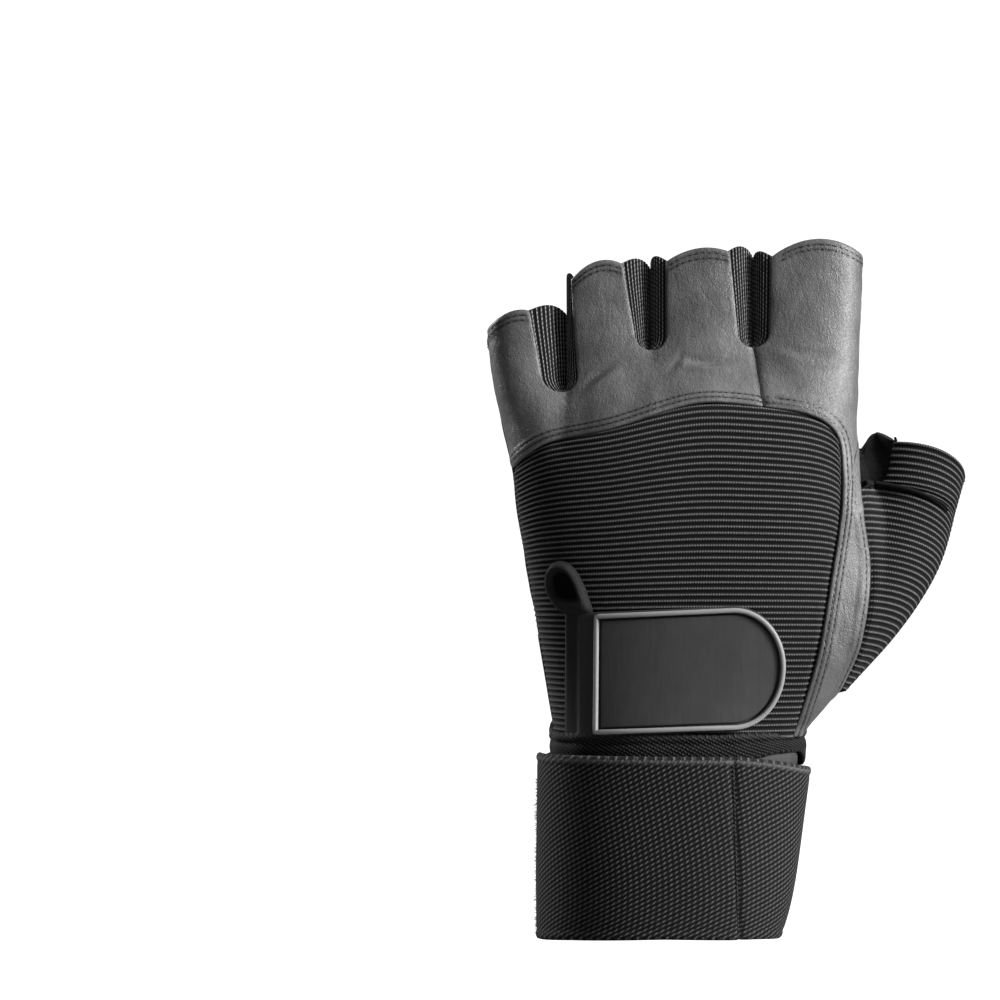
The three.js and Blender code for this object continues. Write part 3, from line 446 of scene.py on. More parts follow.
def on_surface(flat, side):
    """Flat points (x, z) brought onto the outer surface."""
    flat = np.asarray(flat, float)
    return np.stack([flat[..., 0], surface_y(flat[..., 0], flat[..., 1], side), flat[..., 1]], axis=-1)


def surface_normal(flat, side, step=0.4):
    """Outward direction of the surface at flat points, from its slopes across and up."""
    x, z = np.asarray(flat, float)[..., 0], np.asarray(flat, float)[..., 1]
    across = (surface_y(x + step, z, side) - surface_y(x - step, z, side)) / (2 * step)
    up = (surface_y(x, z + step, side) - surface_y(x, z - step, side)) / (2 * step)
    sign = -1.0 if side == "back" else 1.0
    return unit(np.stack([-across * sign, np.full_like(across, sign), -up * sign], axis=-1))


def lifted(flat, side, lift):
    """Flat points brought onto the surface and lifted along its normals."""
    return on_surface(flat, side) + surface_normal(flat, side) * lift


def ring_point(turn, z, out):
    """Point of the wrist: a superellipse ring, drawn in on the thumb side towards the lower edge."""
    turn, z, out = np.broadcast_arrays(*(np.asarray(value, float) for value in (turn, z, out)))
    low = clamp(1 - z / WRAP_HEIGHT)
    taper = WRIST_TAPER * low + HEM_TAPER * low**5
    angle = 2 * np.pi * turn
    c, s = signed_power(np.cos(angle), 2 / FULLNESS), signed_power(np.sin(angle), 2 / FULLNESS)
    x = WRIST_SHIFT - taper / 2 - (WRIST_WIDTH / 2 - taper / 2 + out) * c
    return np.stack([x, -(WRIST_DEPTH / 2 + out) * s, z], axis=-1)


# Mesh making

def grid_quads(rows, columns, skip=None, closed=False):
    """Four corners of each cell of a grid, round in the same sense."""
    r, c = np.meshgrid(np.arange(rows - 1), np.arange(columns if closed else columns - 1), indexing="ij")
    nxt = (c + 1) % columns
    low = r + 1
    quads = np.stack([r * columns + c, low * columns + c, low * columns + nxt, r * columns + nxt], axis=-1)
    return quads.reshape(-1, 4) if skip is None else quads[~skip(r, c)]


def vertex_normals(points, quads):
    """Average of the cells' directions at each point, weighted by their area."""
    a, b, c, d = (points[quads[:, k]] for k in range(4))
    cell = np.cross(c - a, d - b)
    normals = np.zeros_like(points)
    for axis in range(3):
        weights = np.repeat(cell[:, axis], 4)
        normals[:, axis] = np.bincount(quads.ravel(), weights=weights, minlength=len(points))
    return unit(normals)


def walled(points, quads, normals, wall):
    """Closed cloth under a sheet of points: the inner side lies one wall down the normals, and
    every open edge gets a round rim, half an oval from the outer to the inner side.
    Returns points, quads, the sheet point each one comes from, and how far inside it is."""
    count = len(points)
    forward = np.concatenate([quads[:, [k, (k + 1) % 4]] for k in range(4)])
    keys = forward[:, 0] * np.int64(count) + forward[:, 1]
    twins = forward[:, 1] * np.int64(count) + forward[:, 0]
    open_edges = forward[~np.isin(keys, twins)]
    p, q = open_edges[:, 0], open_edges[:, 1]
    run = unit(points[q] - points[p])
    out = np.zeros_like(points)
    for ends in (p, q):
        np.add.at(out, ends, np.cross(run, normals[ends]))
    out = unit(out)
    rim = np.unique(open_edges)
    place = np.full(count, -1)
    place[rim] = np.arange(len(rim))
    layers, source = [points, points - normals * wall], [np.arange(count)] * 2
    depth = [np.zeros(count), np.ones(count)]
    for k in range(1, RIM_STEPS):
        angle = np.pi * k / RIM_STEPS
        level = points[rim] - normals[rim] * wall / 2 * (1 - np.cos(angle))
        layers.append(level + out[rim] * wall * RIM_BULGE * np.sin(angle))
        source.append(rim)
        depth.append(np.full(len(rim), k / RIM_STEPS))
    starts = [0] + [2 * count + k * len(rim) for k in range(RIM_STEPS - 1)] + [count]
    faces = [quads, quads[:, ::-1] + count]
    for k in range(RIM_STEPS):
        near = (p, q) if k == 0 else (place[p], place[q])
        far = (p, q) if k == RIM_STEPS - 1 else (place[p], place[q])
        faces.append(np.stack([near[1] + starts[k], near[0] + starts[k],
                               far[0] + starts[k + 1], far[1] + starts[k + 1]], axis=1))
    return np.vstack(layers), np.vstack(faces), np.concatenate(source), np.concatenate(depth)


def nearness(points, line):
    """Distance from each point to the nearest of a line's close-set points."""
    best = np.full(len(points), 1e9)
    for start in range(0, len(points), 4000):
        block = points[start:start + 4000, None] - line[None]
        best[start:start + 4000] = np.sqrt((block**2).sum(axis=2).min(axis=1))
    return best


def waves(points, size, seed, count=7):
    """Soft uneven relief from -1 to 1: a sum of sines with seeded directions and phases."""
    rng = np.random.default_rng(seed)
    total = np.zeros(points.shape[:-1])
    for _ in range(count):
        way = rng.normal(size=points.shape[-1])
        way *= 2 * np.pi / (size * rng.uniform(0.7, 1.6)) / np.linalg.norm(way)
        total += np.sin(points @ way + rng.uniform(0, 2 * np.pi))
    return total / count**0.5 / 1.4


def add_object(name, data):
    """An object in the scene."""
    obj = bpy.data.objects.new(name, data)
    bpy.context.scene.collection.objects.link(obj)
    return obj


def new_mesh(name, points, faces, material, uv=None, values=None, wrap=None):
    """Object from points in millimetres. uv is one place per point; wrap is the length round a
    closed ring, which keeps a cell across its seam in one piece."""
    mesh = bpy.data.meshes.new(name)
    mesh.from_pydata((np.asarray(points) * MM).tolist(), [], [list(map(int, f)) for f in faces])
    mesh.shade_smooth()
    if uv is not None:
        corners = uv[faces].astype(float)
        if wrap:
            over = corners[..., 0].max(axis=1, keepdims=True) - corners[..., 0] > wrap / 2
            corners[..., 0] += over * wrap
        layer = mesh.uv_layers.new(name="cloth")
        layer.data.foreach_set("uv", corners.astype(np.float32).ravel())
    for key, value in (values or {}).items():
        attribute = mesh.attributes.new(key, "FLOAT", "POINT")
        attribute.data.foreach_set("value", np.asarray(value, np.float32))
    mesh.materials.append(material)
    mesh.validate()
    return add_object(name, mesh)


def cloth_uv(points, rows, columns):
    """Place on the cloth in millimetres: length along the rows, counted from their middle, and
    length down the middle column."""
    grid = points.reshape(rows, columns, 3)
    across = np.zeros((rows, columns))
    across[:, 1:] = np.cumsum(np.linalg.norm(np.diff(grid, axis=1), axis=2), axis=1)
    across -= across[:, columns // 2][:, None]
    down = np.zeros((rows, columns))
    down[1:] = np.cumsum(np.linalg.norm(np.diff(grid, axis=0), axis=2), axis=0)
    return np.stack([across, -down], axis=-1).reshape(-1, 2)


def declare_sheet(obj, width, length, area, held, rests=()):
    """Works out a cloth's cut size, in metres, and does nothing more with it. A strip narrower than a
    centimetre is given with the allowance that is turned under along it."""
    width, length = max(width, SMALLEST_CUT), max(length, SMALLEST_CUT)
    area = max(area, 0.31 * width * length)
    list(rests)


def cut_size(points, rows, columns, quads):
    """Flat cut of a sheet: its longest row, its longest column and its area, in metres."""
    grid = points.reshape(rows, columns, 3)
    width = np.linalg.norm(np.diff(grid, axis=1), axis=2).sum(axis=1).max()
    length = np.linalg.norm(np.diff(grid, axis=0), axis=2).sum(axis=0).max()
    a, b, c, d = (points[quads[:, k]] for k in range(4))
    area = (np.linalg.norm(np.cross(c - a, d - b), axis=1) / 2).sum()
    return width * MM, length * MM, min(area, width * length) * MM * MM


def finish_piece(obj, slot, *nodes):
    """Rides on the glove and stands for its CAD nodes, which it hides. The slot is not used."""
    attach(obj, "root")
    if nodes:
        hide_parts(*nodes)
    return obj


def cloth_piece(name, flat, side, material, slot, *, wall, height=None, skip=None, rim=None,
                values=None, points=None, flip=None, held="stretched", rests=()):
    """Sheet on the glove from a flat grid, or from points of its own: brought onto the surface, raised along
    its normals by height(points) and walled. Points that rim picks are drawn to the middle line between back
    and palm."""
    base = on_surface(flat, side) if points is None else points
    rows, columns = base.shape[:2]
    base = base.reshape(-1, 3)
    quads = grid_quads(rows, columns, skip)
    if side == "palm" if flip is None else flip:
        quads = quads[:, ::-1]
    normals = vertex_normals(base, quads)
    if rim is not None:
        edge = rim(*np.meshgrid(np.arange(rows), np.arange(columns), indexing="ij")).ravel()
        base[edge, 1] = curl(base[edge, 2]) + (0.05 if side == "palm" else -0.05)
        normals = vertex_normals(base, quads)
        normals[edge, 1] = 0
        normals[edge] = unit(normals[edge])
    raised = base if height is None else base + normals * height(base)[:, None]
    used = np.unique(quads)
    renumber = np.full(len(base), -1)
    renumber[used] = np.arange(len(used))
    made, faces, source, depth = walled(raised[used], renumber[quads], normals[used], wall)
    extra = {"inside": depth}
    for key, value in (values(base) if values else {}).items():
        extra[key] = np.asarray(value)[used][source]
    uv = cloth_uv(base, rows, columns)[used][source]
    obj = finish_piece(new_mesh(name, made, faces, material, uv=uv, values=extra), slot, name)
    declare_sheet(obj, *cut_size(base, rows, columns, quads), held, rests)


def stitches(runs, length=1.35, width=0.42, pitch=STITCH_PITCH):
    """Thread: at equal steps along each run lies a small capsule, whose radius is a circle's height
    over its length, half sunk at both ends. A run is its points and their outward normals."""
    t = np.array([-1.0, -0.8, 0.0, 0.8, 1.0])
    radius = np.array([0.25, 0.8, 1.0, 0.8, 0.25])
    angle = np.linspace(0, 2 * np.pi, 6, endpoint=False)
    all_points, count = [], 0
    for points, normals in runs:
        run = run_along(points)
        number = max(int(run[-1] / pitch), 1)
        at = (np.arange(number) + 0.5) * run[-1] / number
        way = unit(sampled(points, run, at + 0.3) - sampled(points, run, at - 0.3))
        up = sampled(normals, run, at)
        up = unit(up - way * (up * way).sum(axis=1, keepdims=True))
        across = np.cross(way, up)
        ends = t[None, :, None, None] * length / 2 * way[:, None, None]
        round_it = radius[None, :, None, None] * (
            np.cos(angle)[None, None, :, None] * across[:, None, None] * width / 2
            + np.sin(angle)[None, None, :, None] * up[:, None, None] * THREAD_HEIGHT / 2)
        dip = -up[:, None, None] * (np.abs(t) ** 3 * 0.18 + THREAD_SINK)[None, :, None, None]
        spot = sampled(points, run, at)[:, None, None]
        all_points.append((spot + ends + round_it + dip).reshape(-1, 3))
        count += number
    ring = grid_quads(5, 6, closed=True)
    one = [list(f) for f in ring] + [list(range(6))[::-1], list(range(24, 30))]
    faces = [[k + 30 * n for k in face[::-1]] for n in range(count) for face in one]
    return np.vstack(all_points), faces


def thread_run(flat, side, relief, lift=0.1):
    """A run of thread: flat points brought onto a leather's relief, and the normals there."""
    points, normals = on_surface(flat, side), surface_normal(flat, side)
    return points + normals * (RELIEFS[relief](points) + lift)[:, None], normals


# Materials

def node(tree, kind, inputs=None, **settings):
    """Adds a shader node, with its settings and its inputs, which are values or links."""
    made = tree.nodes.new("ShaderNode" + kind)
    for name, value in settings.items():
        setattr(made, name, value)
    for name, value in (inputs or {}).items():
        if isinstance(value, bpy.types.NodeSocket):
            tree.links.new(value, made.inputs[name])
        else:
            made.inputs[name].default_value = value
    return made


def calc(tree, operation, a, b=0.0, c=0.0):
    """Result of a sum on values or links."""
    return node(tree, "Math", {0: a, 1: b, 2: c}, operation=operation).outputs[0]


def swing(tree, wave, angle):
    """A sine or cosine brought from -1..1 to 0..1."""
    return calc(tree, "MULTIPLY_ADD", calc(tree, wave, angle), 0.5, 0.5)


def blend_colour(tree, share, a, b):
    """Colour between two others."""
    return node(tree, "Mix", {0: share, 6: a, 7: b}, data_type="RGBA").outputs[2]


def grey(level):
    """Neutral colour of one level."""
    return (level, level, level, 1.0)


def group(name, inputs, outputs):
    """Empty node group with named sockets, its group input and its group output."""
    tree = bpy.data.node_groups.new(name, "ShaderNodeTree")
    for label, kind, value in inputs:
        socket = tree.interface.new_socket(name=label, in_out="INPUT", socket_type="NodeSocket" + kind)
        socket.default_value = value
    for label, kind in outputs:
        tree.interface.new_socket(name=label, in_out="OUTPUT", socket_type="NodeSocket" + kind)
    return tree, tree.nodes.new("NodeGroupInput").outputs, tree.nodes.new("NodeGroupOutput").inputs


def use_group(tree, made, inputs):
    """Outputs of a node group placed in a tree."""
    return node(tree, "Group", inputs, node_tree=made).outputs


def object_place(tree, scale=(1, 1, 1)):
    """Object coordinates in millimetres, stretched by scale."""
    place = node(tree, "TexCoord").outputs["Object"]
    by = tuple(1000 * s for s in scale)
    return node(tree, "VectorMath", {0: place, 1: by}, operation="MULTIPLY").outputs[0]


def cloth_place(tree):
    """Place on the cloth in millimetres, X along its rows and Y down its columns."""
    cloth = node(tree, "UVMap", uv_map="cloth").outputs["UV"]
    return node(tree, "SeparateXYZ", {"Vector": cloth}).outputs


def attribute(tree, name, share=None):
    """A value kept at the mesh's points, or a share of it."""
    value = node(tree, "Attribute", attribute_name=name).outputs["Fac"]
    return value if share is None else calc(tree, "MULTIPLY", value, share)


def noise(tree, place, size, detail=2.0, rough=0.5):
    """Noise whose grains are about size millimetres wide."""
    inputs = {"Vector": place, "Scale": 1.0 / size, "Detail": detail, "Roughness": rough}
    return node(tree, "TexNoise", inputs).outputs["Fac"]


def cell_edges(tree, place, scale):
    """Distance to the nearest edge of a mosaic."""
    inputs = {"Vector": place, "Scale": scale}
    return node(tree, "TexVoronoi", inputs, feature="DISTANCE_TO_EDGE").outputs["Distance"]


def ramp(tree, value, low, high):
    """Linear map of a value from low..high to 0..1, held at both ends."""
    inputs = {"Value": value, "From Min": low, "From Max": high}
    return node(tree, "MapRange", inputs, clamp=True).outputs["Result"]


# Near-black colour of each sheet's inner side: painted shade of the hollow inside the glove.
HOLLOW_SHADE_GREY = grey(0.004)


def make_grain():
    """Leather grain: cell edges of a fine and a coarser mosaic with soft noise between them."""
    tree, given, result = group(
        "leather_grain", [("Cell", "Float", 0.7)], [("Height", "Float"), ("Cloudy", "Float")])
    place = object_place(tree)
    wobble = node(tree, "TexNoise", {"Vector": place, "Scale": 0.6, "Detail": 2.0}).outputs["Color"]
    pushed = {0: wobble, 1: (1.1, 1.1, 1.1), 2: place}
    bent = node(tree, "VectorMath", pushed, operation="MULTIPLY_ADD").outputs[0]
    pebble = ramp(tree, cell_edges(tree, bent, calc(tree, "DIVIDE", 1.0, given["Cell"])), 0.0, 0.35)
    crease = ramp(tree, cell_edges(tree, bent, 0.36), 0.0, 0.2)
    soft = noise(tree, place, 0.25, 3.0)
    height = calc(tree, "MULTIPLY_ADD", pebble, 0.3, calc(tree, "MULTIPLY", crease, 0.2))
    wrinkle = noise(tree, object_place(tree, (1.0, 1.0, 0.4)), 2.2, 4.0, 0.7)
    height = calc(tree, "MULTIPLY_ADD", wrinkle, 1.3, height)
    tree.links.new(calc(tree, "MULTIPLY_ADD", soft, 0.4, height), result["Height"])
    tree.links.new(noise(tree, place, 14.0, 3.0), result["Cloudy"])
    return tree


def make_shaded_lining():
    """Colour of a sheet from its outer colour: a near-black lining inside, which is painted shade of the
    hollow inside the glove, and a rim between in the given rim colour.
    """
    tree, given, result = group(
        "shaded_lining_and_rim",
        [("Outer", "Color", grey(0.1)), ("Lining", "Color", HOLLOW_SHADE_GREY), ("Rim", "Color", grey(0.1))],
        [("Colour", "Color"), ("Inside", "Float")])
    inside = attribute(tree, "inside")
    rim = calc(tree, "MULTIPLY", ramp(tree, inside, 0.02, 0.25), 0.7)
    lined = ramp(tree, inside, 0.6, 0.95)
    shaded = blend_colour(tree, rim, given["Outer"], given["Rim"])
    # The inner side is painted near black: painted shade of the glove's hollow.
    tree.links.new(blend_colour(tree, lined, shaded, given["Lining"]), result["Colour"])
    tree.links.new(lined, result["Inside"])
    return tree


def make_ribs():
    """Ribs of the knit from the attribute rib, counted in ribs: a narrow crest, painted bright as a highlight
    on the dark yarn, with small loops of yarn along it at equal steps of the cloth's length, and a dark
    groove between."""
    tree, given, result = group(
        "rib_knit", [("Loop", "Float", 0.85), ("Loop depth", "Float", 0.5)],
        [("Height", "Float"), ("Crest highlight", "Float")])
    wave = swing(tree, "COSINE", attribute(tree, "rib", 2 * np.pi))
    step = calc(tree, "DIVIDE", 2 * np.pi, given["Loop"])
    loops = swing(tree, "SINE", calc(tree, "MULTIPLY", cloth_place(tree)["X"], step))
    ragged = noise(tree, object_place(tree), 0.45)
    crest = calc(tree, "POWER", wave, 3.6)
    yarn = calc(tree, "MULTIPLY", loops, given["Loop depth"])
    beaded = calc(tree, "MULTIPLY", crest, calc(tree, "SUBTRACT", 1.0, yarn))
    tree.links.new(calc(tree, "MULTIPLY_ADD", ragged, 0.12, beaded), result["Height"])
    # Patchy strength of the painted highlight on the crests.
    sheen_patches = calc(tree, "MULTIPLY_ADD", ragged, 1.4, 0.3)
    tree.links.new(calc(tree, "MULTIPLY", beaded, sheen_patches), result["Crest highlight"])
    return tree


def make_twill():
    """Elastic twill: diagonal cords at equal steps across the cloth, each broken into short floats of yarn,
    with the cords painted light as a highlight. The attribute lay turns the diagonal to the other hand."""
    tree, given, result = group(
        "twill_weave", [("Pitch", "Float", 1.8), ("Slope", "Float", 0.55), ("Float length", "Float", 1.5)],
        [("Height", "Float"), ("Cord highlight", "Float")])
    cloth, place = cloth_place(tree), object_place(tree)
    rise = calc(tree, "MULTIPLY", calc(tree, "MULTIPLY", cloth["X"], given["Slope"]), attribute(tree, "lay"))
    level = calc(tree, "MULTIPLY_ADD", noise(tree, place, 9.0), 0.5, calc(tree, "SUBTRACT", cloth["Y"], rise))
    turns = calc(tree, "DIVIDE", level, given["Pitch"])
    wave = swing(tree, "COSINE", calc(tree, "MULTIPLY", turns, 2 * np.pi))
    row = calc(tree, "FLOOR", calc(tree, "ADD", turns, 0.5))
    step = calc(tree, "DIVIDE", cloth["X"], given["Float length"])
    along_it = calc(tree, "MULTIPLY_ADD", row, 0.37, step)
    floats = swing(tree, "SINE", calc(tree, "MULTIPLY", along_it, 2 * np.pi))
    ragged = noise(tree, place, 0.4)
    broken = calc(tree, "MULTIPLY_ADD", floats, 0.75, 0.25)
    cord = calc(tree, "MULTIPLY", calc(tree, "POWER", wave, 2.2), broken)
    tree.links.new(calc(tree, "MULTIPLY_ADD", ragged, 0.25, cord), result["Height"])
    # Patchy strength of the painted highlight on the cords.
    sheen_patches = calc(tree, "MULTIPLY_ADD", ragged, 1.6, 0.15)
    tree.links.new(calc(tree, "MULTIPLY", cord, sheen_patches), result["Cord highlight"])
    return tree


def make_nap():
    """Brushed nap: patches that lie one way or the other, fine fibres and a few pale flecks."""
    tree, _, result = group("suede_nap", [], [("Height", "Float"), ("Tone", "Float"), ("Fleck", "Float")])
    place = object_place(tree)
    patch = noise(tree, place, 9.0, 4.0, 0.6)
    fibre = noise(tree, place, 0.35, 3.0, 0.6)
    speck = noise(tree, place, 0.55, 1.0)
    tree.links.new(calc(tree, "MULTIPLY_ADD", patch, 0.4, fibre), result["Height"])
    tone = calc(tree, "MULTIPLY_ADD", fibre, 0.45, calc(tree, "MULTIPLY", patch, 0.75))
    tree.links.new(tone, result["Tone"])
    tree.links.new(ramp(tree, speck, 0.66, 0.76), result["Fleck"])
    return tree


def new_material(name, rough, specular=0.4, sheen=0.0, coat=0.0):
    """Material with its tree and its shader, whose constants are set."""
    material = bpy.data.materials.new(name)
    material.use_nodes = True
    shader = material.node_tree.nodes["Principled BSDF"]
    constants = {"Roughness": rough, "Specular IOR Level": specular, "Sheen Weight": sheen,
                 "Sheen Roughness": 0.5, "Coat Weight": coat, "Coat Roughness": 0.35}
    for socket, value in constants.items():
        shader.inputs[socket].default_value = value
    return material, material.node_tree, shader


def finish_shader(tree, shader, colour, height, strength, distance, rough=None):
    """Gives a shader its colour, its relief and, if given, its roughness."""
    made = node(tree, "Bump", {"Height": height, "Strength": strength, "Distance": distance * MM})
    tree.links.new(made.outputs["Normal"], shader.inputs["Normal"])
    tree.links.new(colour, shader.inputs["Base Color"])
    if rough is not None:
        tree.links.new(rough, shader.inputs["Roughness"])


def leather_material(name, dark, light, rough, cell, hem=None):
    """Grained leather: cloudy colour, grain in relief, painted shade in the grooves of its seams and, when a
    hem colour is given, painted light near its hems.
    """
    material, tree, shader = new_material(name, rough, specular=0.45, coat=0.06)
    grain = use_group(tree, GRAIN, {"Cell": cell})
    cloud = ramp(tree, grain["Cloudy"], 0.3, 0.72)
    colour = blend_colour(tree, cloud, grey(dark), grey(light))
    # Colour lighter where the grain stands highest.
    raised_grain_lightening = calc(tree, "MULTIPLY", ramp(tree, grain["Height"], 0.6, 1.5), 0.35)
    colour = blend_colour(tree, raised_grain_lightening, colour, grey(light * 1.25))
    # Towards the hems the colour goes to the given hem colour: painted light.
    if hem is not None:
        colour = blend_colour(tree, attribute(tree, "hem"), colour, grey(hem))
    # Painted shade in the sunk rows of thread and along the butt seam.
    colour = blend_colour(tree, attribute(tree, "groove", 0.85), colour, grey(dark * 0.1))
    lined = use_group(tree, SHADED_LINING, {"Outer": colour, "Lining": HOLLOW_SHADE_GREY, "Rim": grey(dark * 0.8)})
    shine = calc(tree, "MULTIPLY_ADD", grain["Height"], 0.1, rough - 0.1)
    shine = calc(tree, "MULTIPLY_ADD", lined["Inside"], 0.35, shine)
    finish_shader(tree, shader, lined["Colour"], grain["Height"], 0.6, 0.3, shine)
    return material


def stretch_material(name, dark, light, loop, depth):
    """Ribbed knit: dark, with crests painted light as a highlight."""
    material, tree, shader = new_material(name, 0.85, specular=0.12, sheen=0.02)
    ribs = use_group(tree, RIBS, {"Loop": loop, "Loop depth": depth})
    colour = blend_colour(tree, ribs["Crest highlight"], grey(dark), grey(light))
    lined = use_group(tree, SHADED_LINING, {"Outer": colour, "Lining": HOLLOW_SHADE_GREY, "Rim": grey(dark)})
    finish_shader(tree, shader, lined["Colour"], ribs["Height"], 0.8, 0.35)
    return material


def webbing_material(name, dark, light, pitch, slope, length):
    """Elastic webbing: cords painted light as a highlight, dark between them, and painted shade along its
    sewn line.
    """
    material, tree, shader = new_material(name, 0.8, specular=0.12, sheen=0.02)
    twill = use_group(tree, TWILL, {"Pitch": pitch, "Slope": slope, "Float length": length})
    colour = blend_colour(tree, twill["Cord highlight"], grey(dark), grey(light))
    # Painted shade along the wrap's sewn line.
    colour = blend_colour(tree, attribute(tree, "groove", 0.9), colour, grey(dark * 0.5))
    colour = blend_colour(tree, attribute(tree, "hem"), colour, grey(light))
    finish_shader(tree, shader, colour, twill["Height"], 0.9, 0.45)
    return material


def suede_material(name, dark, light, fleck):
    """Suede: patches of two tones, painted shade in its quilted grooves, and pale flecks that gather in them.
    """
    material, tree, shader = new_material(name, 0.95, specular=0.06, sheen=0.04)
    nap = use_group(tree, NAP, {})
    colour = blend_colour(tree, ramp(tree, nap["Tone"], 0.42, 0.8), grey(dark), grey(light))
    # Painted shade in the quilted grooves.
    colour = blend_colour(tree, attribute(tree, "groove", 0.8), colour, grey(dark * 0.3))
    gathered = calc(tree, "MULTIPLY_ADD", attribute(tree, "groove"), 0.6, 0.22)
    colour = blend_colour(tree, calc(tree, "MULTIPLY", nap["Fleck"], gathered), colour, grey(fleck))
    lined = use_group(tree, SHADED_LINING, {"Outer": colour, "Lining": HOLLOW_SHADE_GREY, "Rim": grey(dark * 0.6)})
    finish_shader(tree, shader, lined["Colour"], nap["Height"], 0.6, 0.25)
    return material


def plain_cloth(name, dark, light, rough, size, relief=0.15, specular=0.3):
    """Fine even surface: two noises in colour and relief."""
    material, tree, shader = new_material(name, rough, specular=specular)
    place = object_place(tree)
    fine = noise(tree, place, size, 3.0, 0.6)
    broad = noise(tree, place, size * 14, 2.0)
    tone = calc(tree, "MULTIPLY_ADD", fine, 0.6, calc(tree, "MULTIPLY", broad, 0.4))
    colour = blend_colour(tree, tone, grey(dark), grey(light))
    # Darker where the attribute groove is set: the strap's dark hem, and the painted shade in the pull loop's
    # middle.
    colour = blend_colour(tree, attribute(tree, "groove"), colour, grey(dark * 0.1))
    finish_shader(tree, shader, colour, fine, 0.6, relief)
    return material


def plate_material():
    """Smooth coated sheet with faint upright brushing."""
    material, tree, shader = new_material("dark plate sheet", 0.42, specular=0.4)
    brushed = noise(tree, object_place(tree, (1.6, 1.0, 0.09)), 1.0, 4.0, 0.6)
    cloudy = noise(tree, object_place(tree), 7.0, 3.0)
    tone = calc(tree, "MULTIPLY_ADD", brushed, 0.6, calc(tree, "MULTIPLY", cloudy, 0.45))
    colour = blend_colour(tree, ramp(tree, tone, 0.3, 0.75), grey(0.03), grey(0.045))
    finish_shader(tree, shader, colour, brushed, 0.25, 0.05, calc(tree, "MULTIPLY_ADD", brushed, 0.18, 0.36))
    return material


GRAIN, SHADED_LINING, RIBS, TWILL, NAP = make_grain(), make_shaded_lining(), make_ribs(), make_twill(), make_nap()
BACK_LEATHER = leather_material("grey back leather", 0.045, 0.11, 0.46, 0.75)
# The palm side's leather is the back's leather painted darker as shade; its hem colour is painted light near
# the mouths and slots.
PALM_SHADED_LEATHER = leather_material("palm leather shaded darker", 0.03, 0.048, 0.5, 0.7, hem=0.15)
# The light levels of the two knits are painted highlight on their rib crests.
RIBBED = stretch_material("ribbed stretch knit", 0.003, 0.15, 0.8, 0.6)
KNIT = stretch_material("finger wall knit", 0.002, 0.3, 1.35, 0.75)
SUEDE_CLOTH = suede_material("black suede", 0.005, 0.03, 0.2)
# A darker copy of the black suede for the thumb's web: painted shade of the web's fork.
WEB_SHADE_SUEDE = suede_material("web suede darkened as shade", 0.001, 0.006, 0.05)
# The light levels of the two twills are painted highlight on their cords.
ELASTIC = webbing_material("black elastic twill", 0.0015, 0.11, 1.75, 0.62, 1.4)
FINE_ELASTIC = webbing_material("fine elastic twill", 0.003, 0.05, 1.1, 0.5, 1.0)
FACING_CLOTH = plain_cloth("smooth facing cloth", 0.03, 0.05, 0.6, 0.3)
STRAP_CLOTH = plain_cloth("strap base cloth", 0.015, 0.03, 0.7, 0.35)
LOOP_CLOTH = plain_cloth("pull loop webbing", 0.004, 0.03, 0.85, 0.5, relief=0.5, specular=0.12)
PIPING = plain_cloth("pale edge piping", 0.2, 0.3, 0.45, 0.5, relief=0.08)
PLATE = plate_material()
THREAD = plain_cloth("black thread", 0.003, 0.012, 0.6, 0.15, relief=0.05)
PALE_THREAD = plain_cloth("dusty thread", 0.01, 0.09, 0.8, 0.5, relief=0.05)
HOOK = plain_cloth("hook fibres", 0.006, 0.025, 0.7, 0.5, specular=0.12)


# Leathers on the fingers and the back

def lip_height(f, t, side):
    """Height of a finger's mouth: straight between its ends plus a parabola."""
    rows = FINGERS
    drop = PALM_LIP_DROP if side == "palm" else 0.0
    return up_to(mix(rows["left"][f], rows["right"][f], t) + rows["crown"][f] * 4 * t * (1 - t)) - drop


def slot_outline(i, side, inset=0.0):
    """A slot's left edge from the mouth down, its round bottom, and its right edge, also down."""
    slot = {name: column[i] for name, column in SLOTS[side].items()}
    low_left = slot["low_left"] * PALM_WIDTH + inset
    low_right = slot["low_right"] * PALM_WIDTH - inset
    radius, middle = (low_right - low_left) / 2, (low_right + low_left) / 2
    shoulder = up_to(slot["floor"]) + inset + radius
    t = span(LEG_STEPS + 1)
    left = np.stack([mix(slot["top_left"] * PALM_WIDTH + inset, low_left, t),
                     mix(lip_height(i, 1, side), shoulder, t)], axis=1)
    right = np.stack([mix(slot["top_right"] * PALM_WIDTH - inset, low_right, mix(t, t**2, 0.3)),
                      mix(lip_height(i + 1, 0, side), shoulder, t)], axis=1)
    angle = np.pi * span(ARC_STEPS + 1)
    lean = (slot["middle"] * PALM_WIDTH - middle) * np.sin(angle)
    arc = np.stack([middle - radius * np.cos(angle) + lean, shoulder - radius * np.sin(angle)], axis=1)
    return left, arc, right


def whole_slot(i, side, inset=0.0):
    """A slot's outline as one line, from its left mouth to its right one."""
    left, arc, right = slot_outline(i, side, inset)
    return np.vstack([left, arc[1:-1], right[::-1]])


def strip_spread(f, t):
    """Even steps across a finger, brought closer where it runs out at a silhouette."""
    if f == 0:
        return 1 - np.cos(np.pi / 2 * t)
    return np.sin(np.pi / 2 * t) if f == 3 else t


def away_from_slots(columns):
    """Sideways direction in which the lines below a slot's bottom spread: minus a cosine round the
    bottom, fading out with the cube of the share across the strips beside it."""
    block = FINGER_STEPS + ARC_STEPS
    k = np.arange(columns) % block
    strip = k / FINGER_STEPS
    fade = np.where(np.arange(columns) >= block, (1 - strip) ** 3, 0.0)
    fade -= np.where(np.arange(columns) <= columns - FINGER_STEPS, strip**3, 0.0)
    return np.where(k <= FINGER_STEPS, fade, -np.cos(np.pi * (k - FINGER_STEPS) / ARC_STEPS))


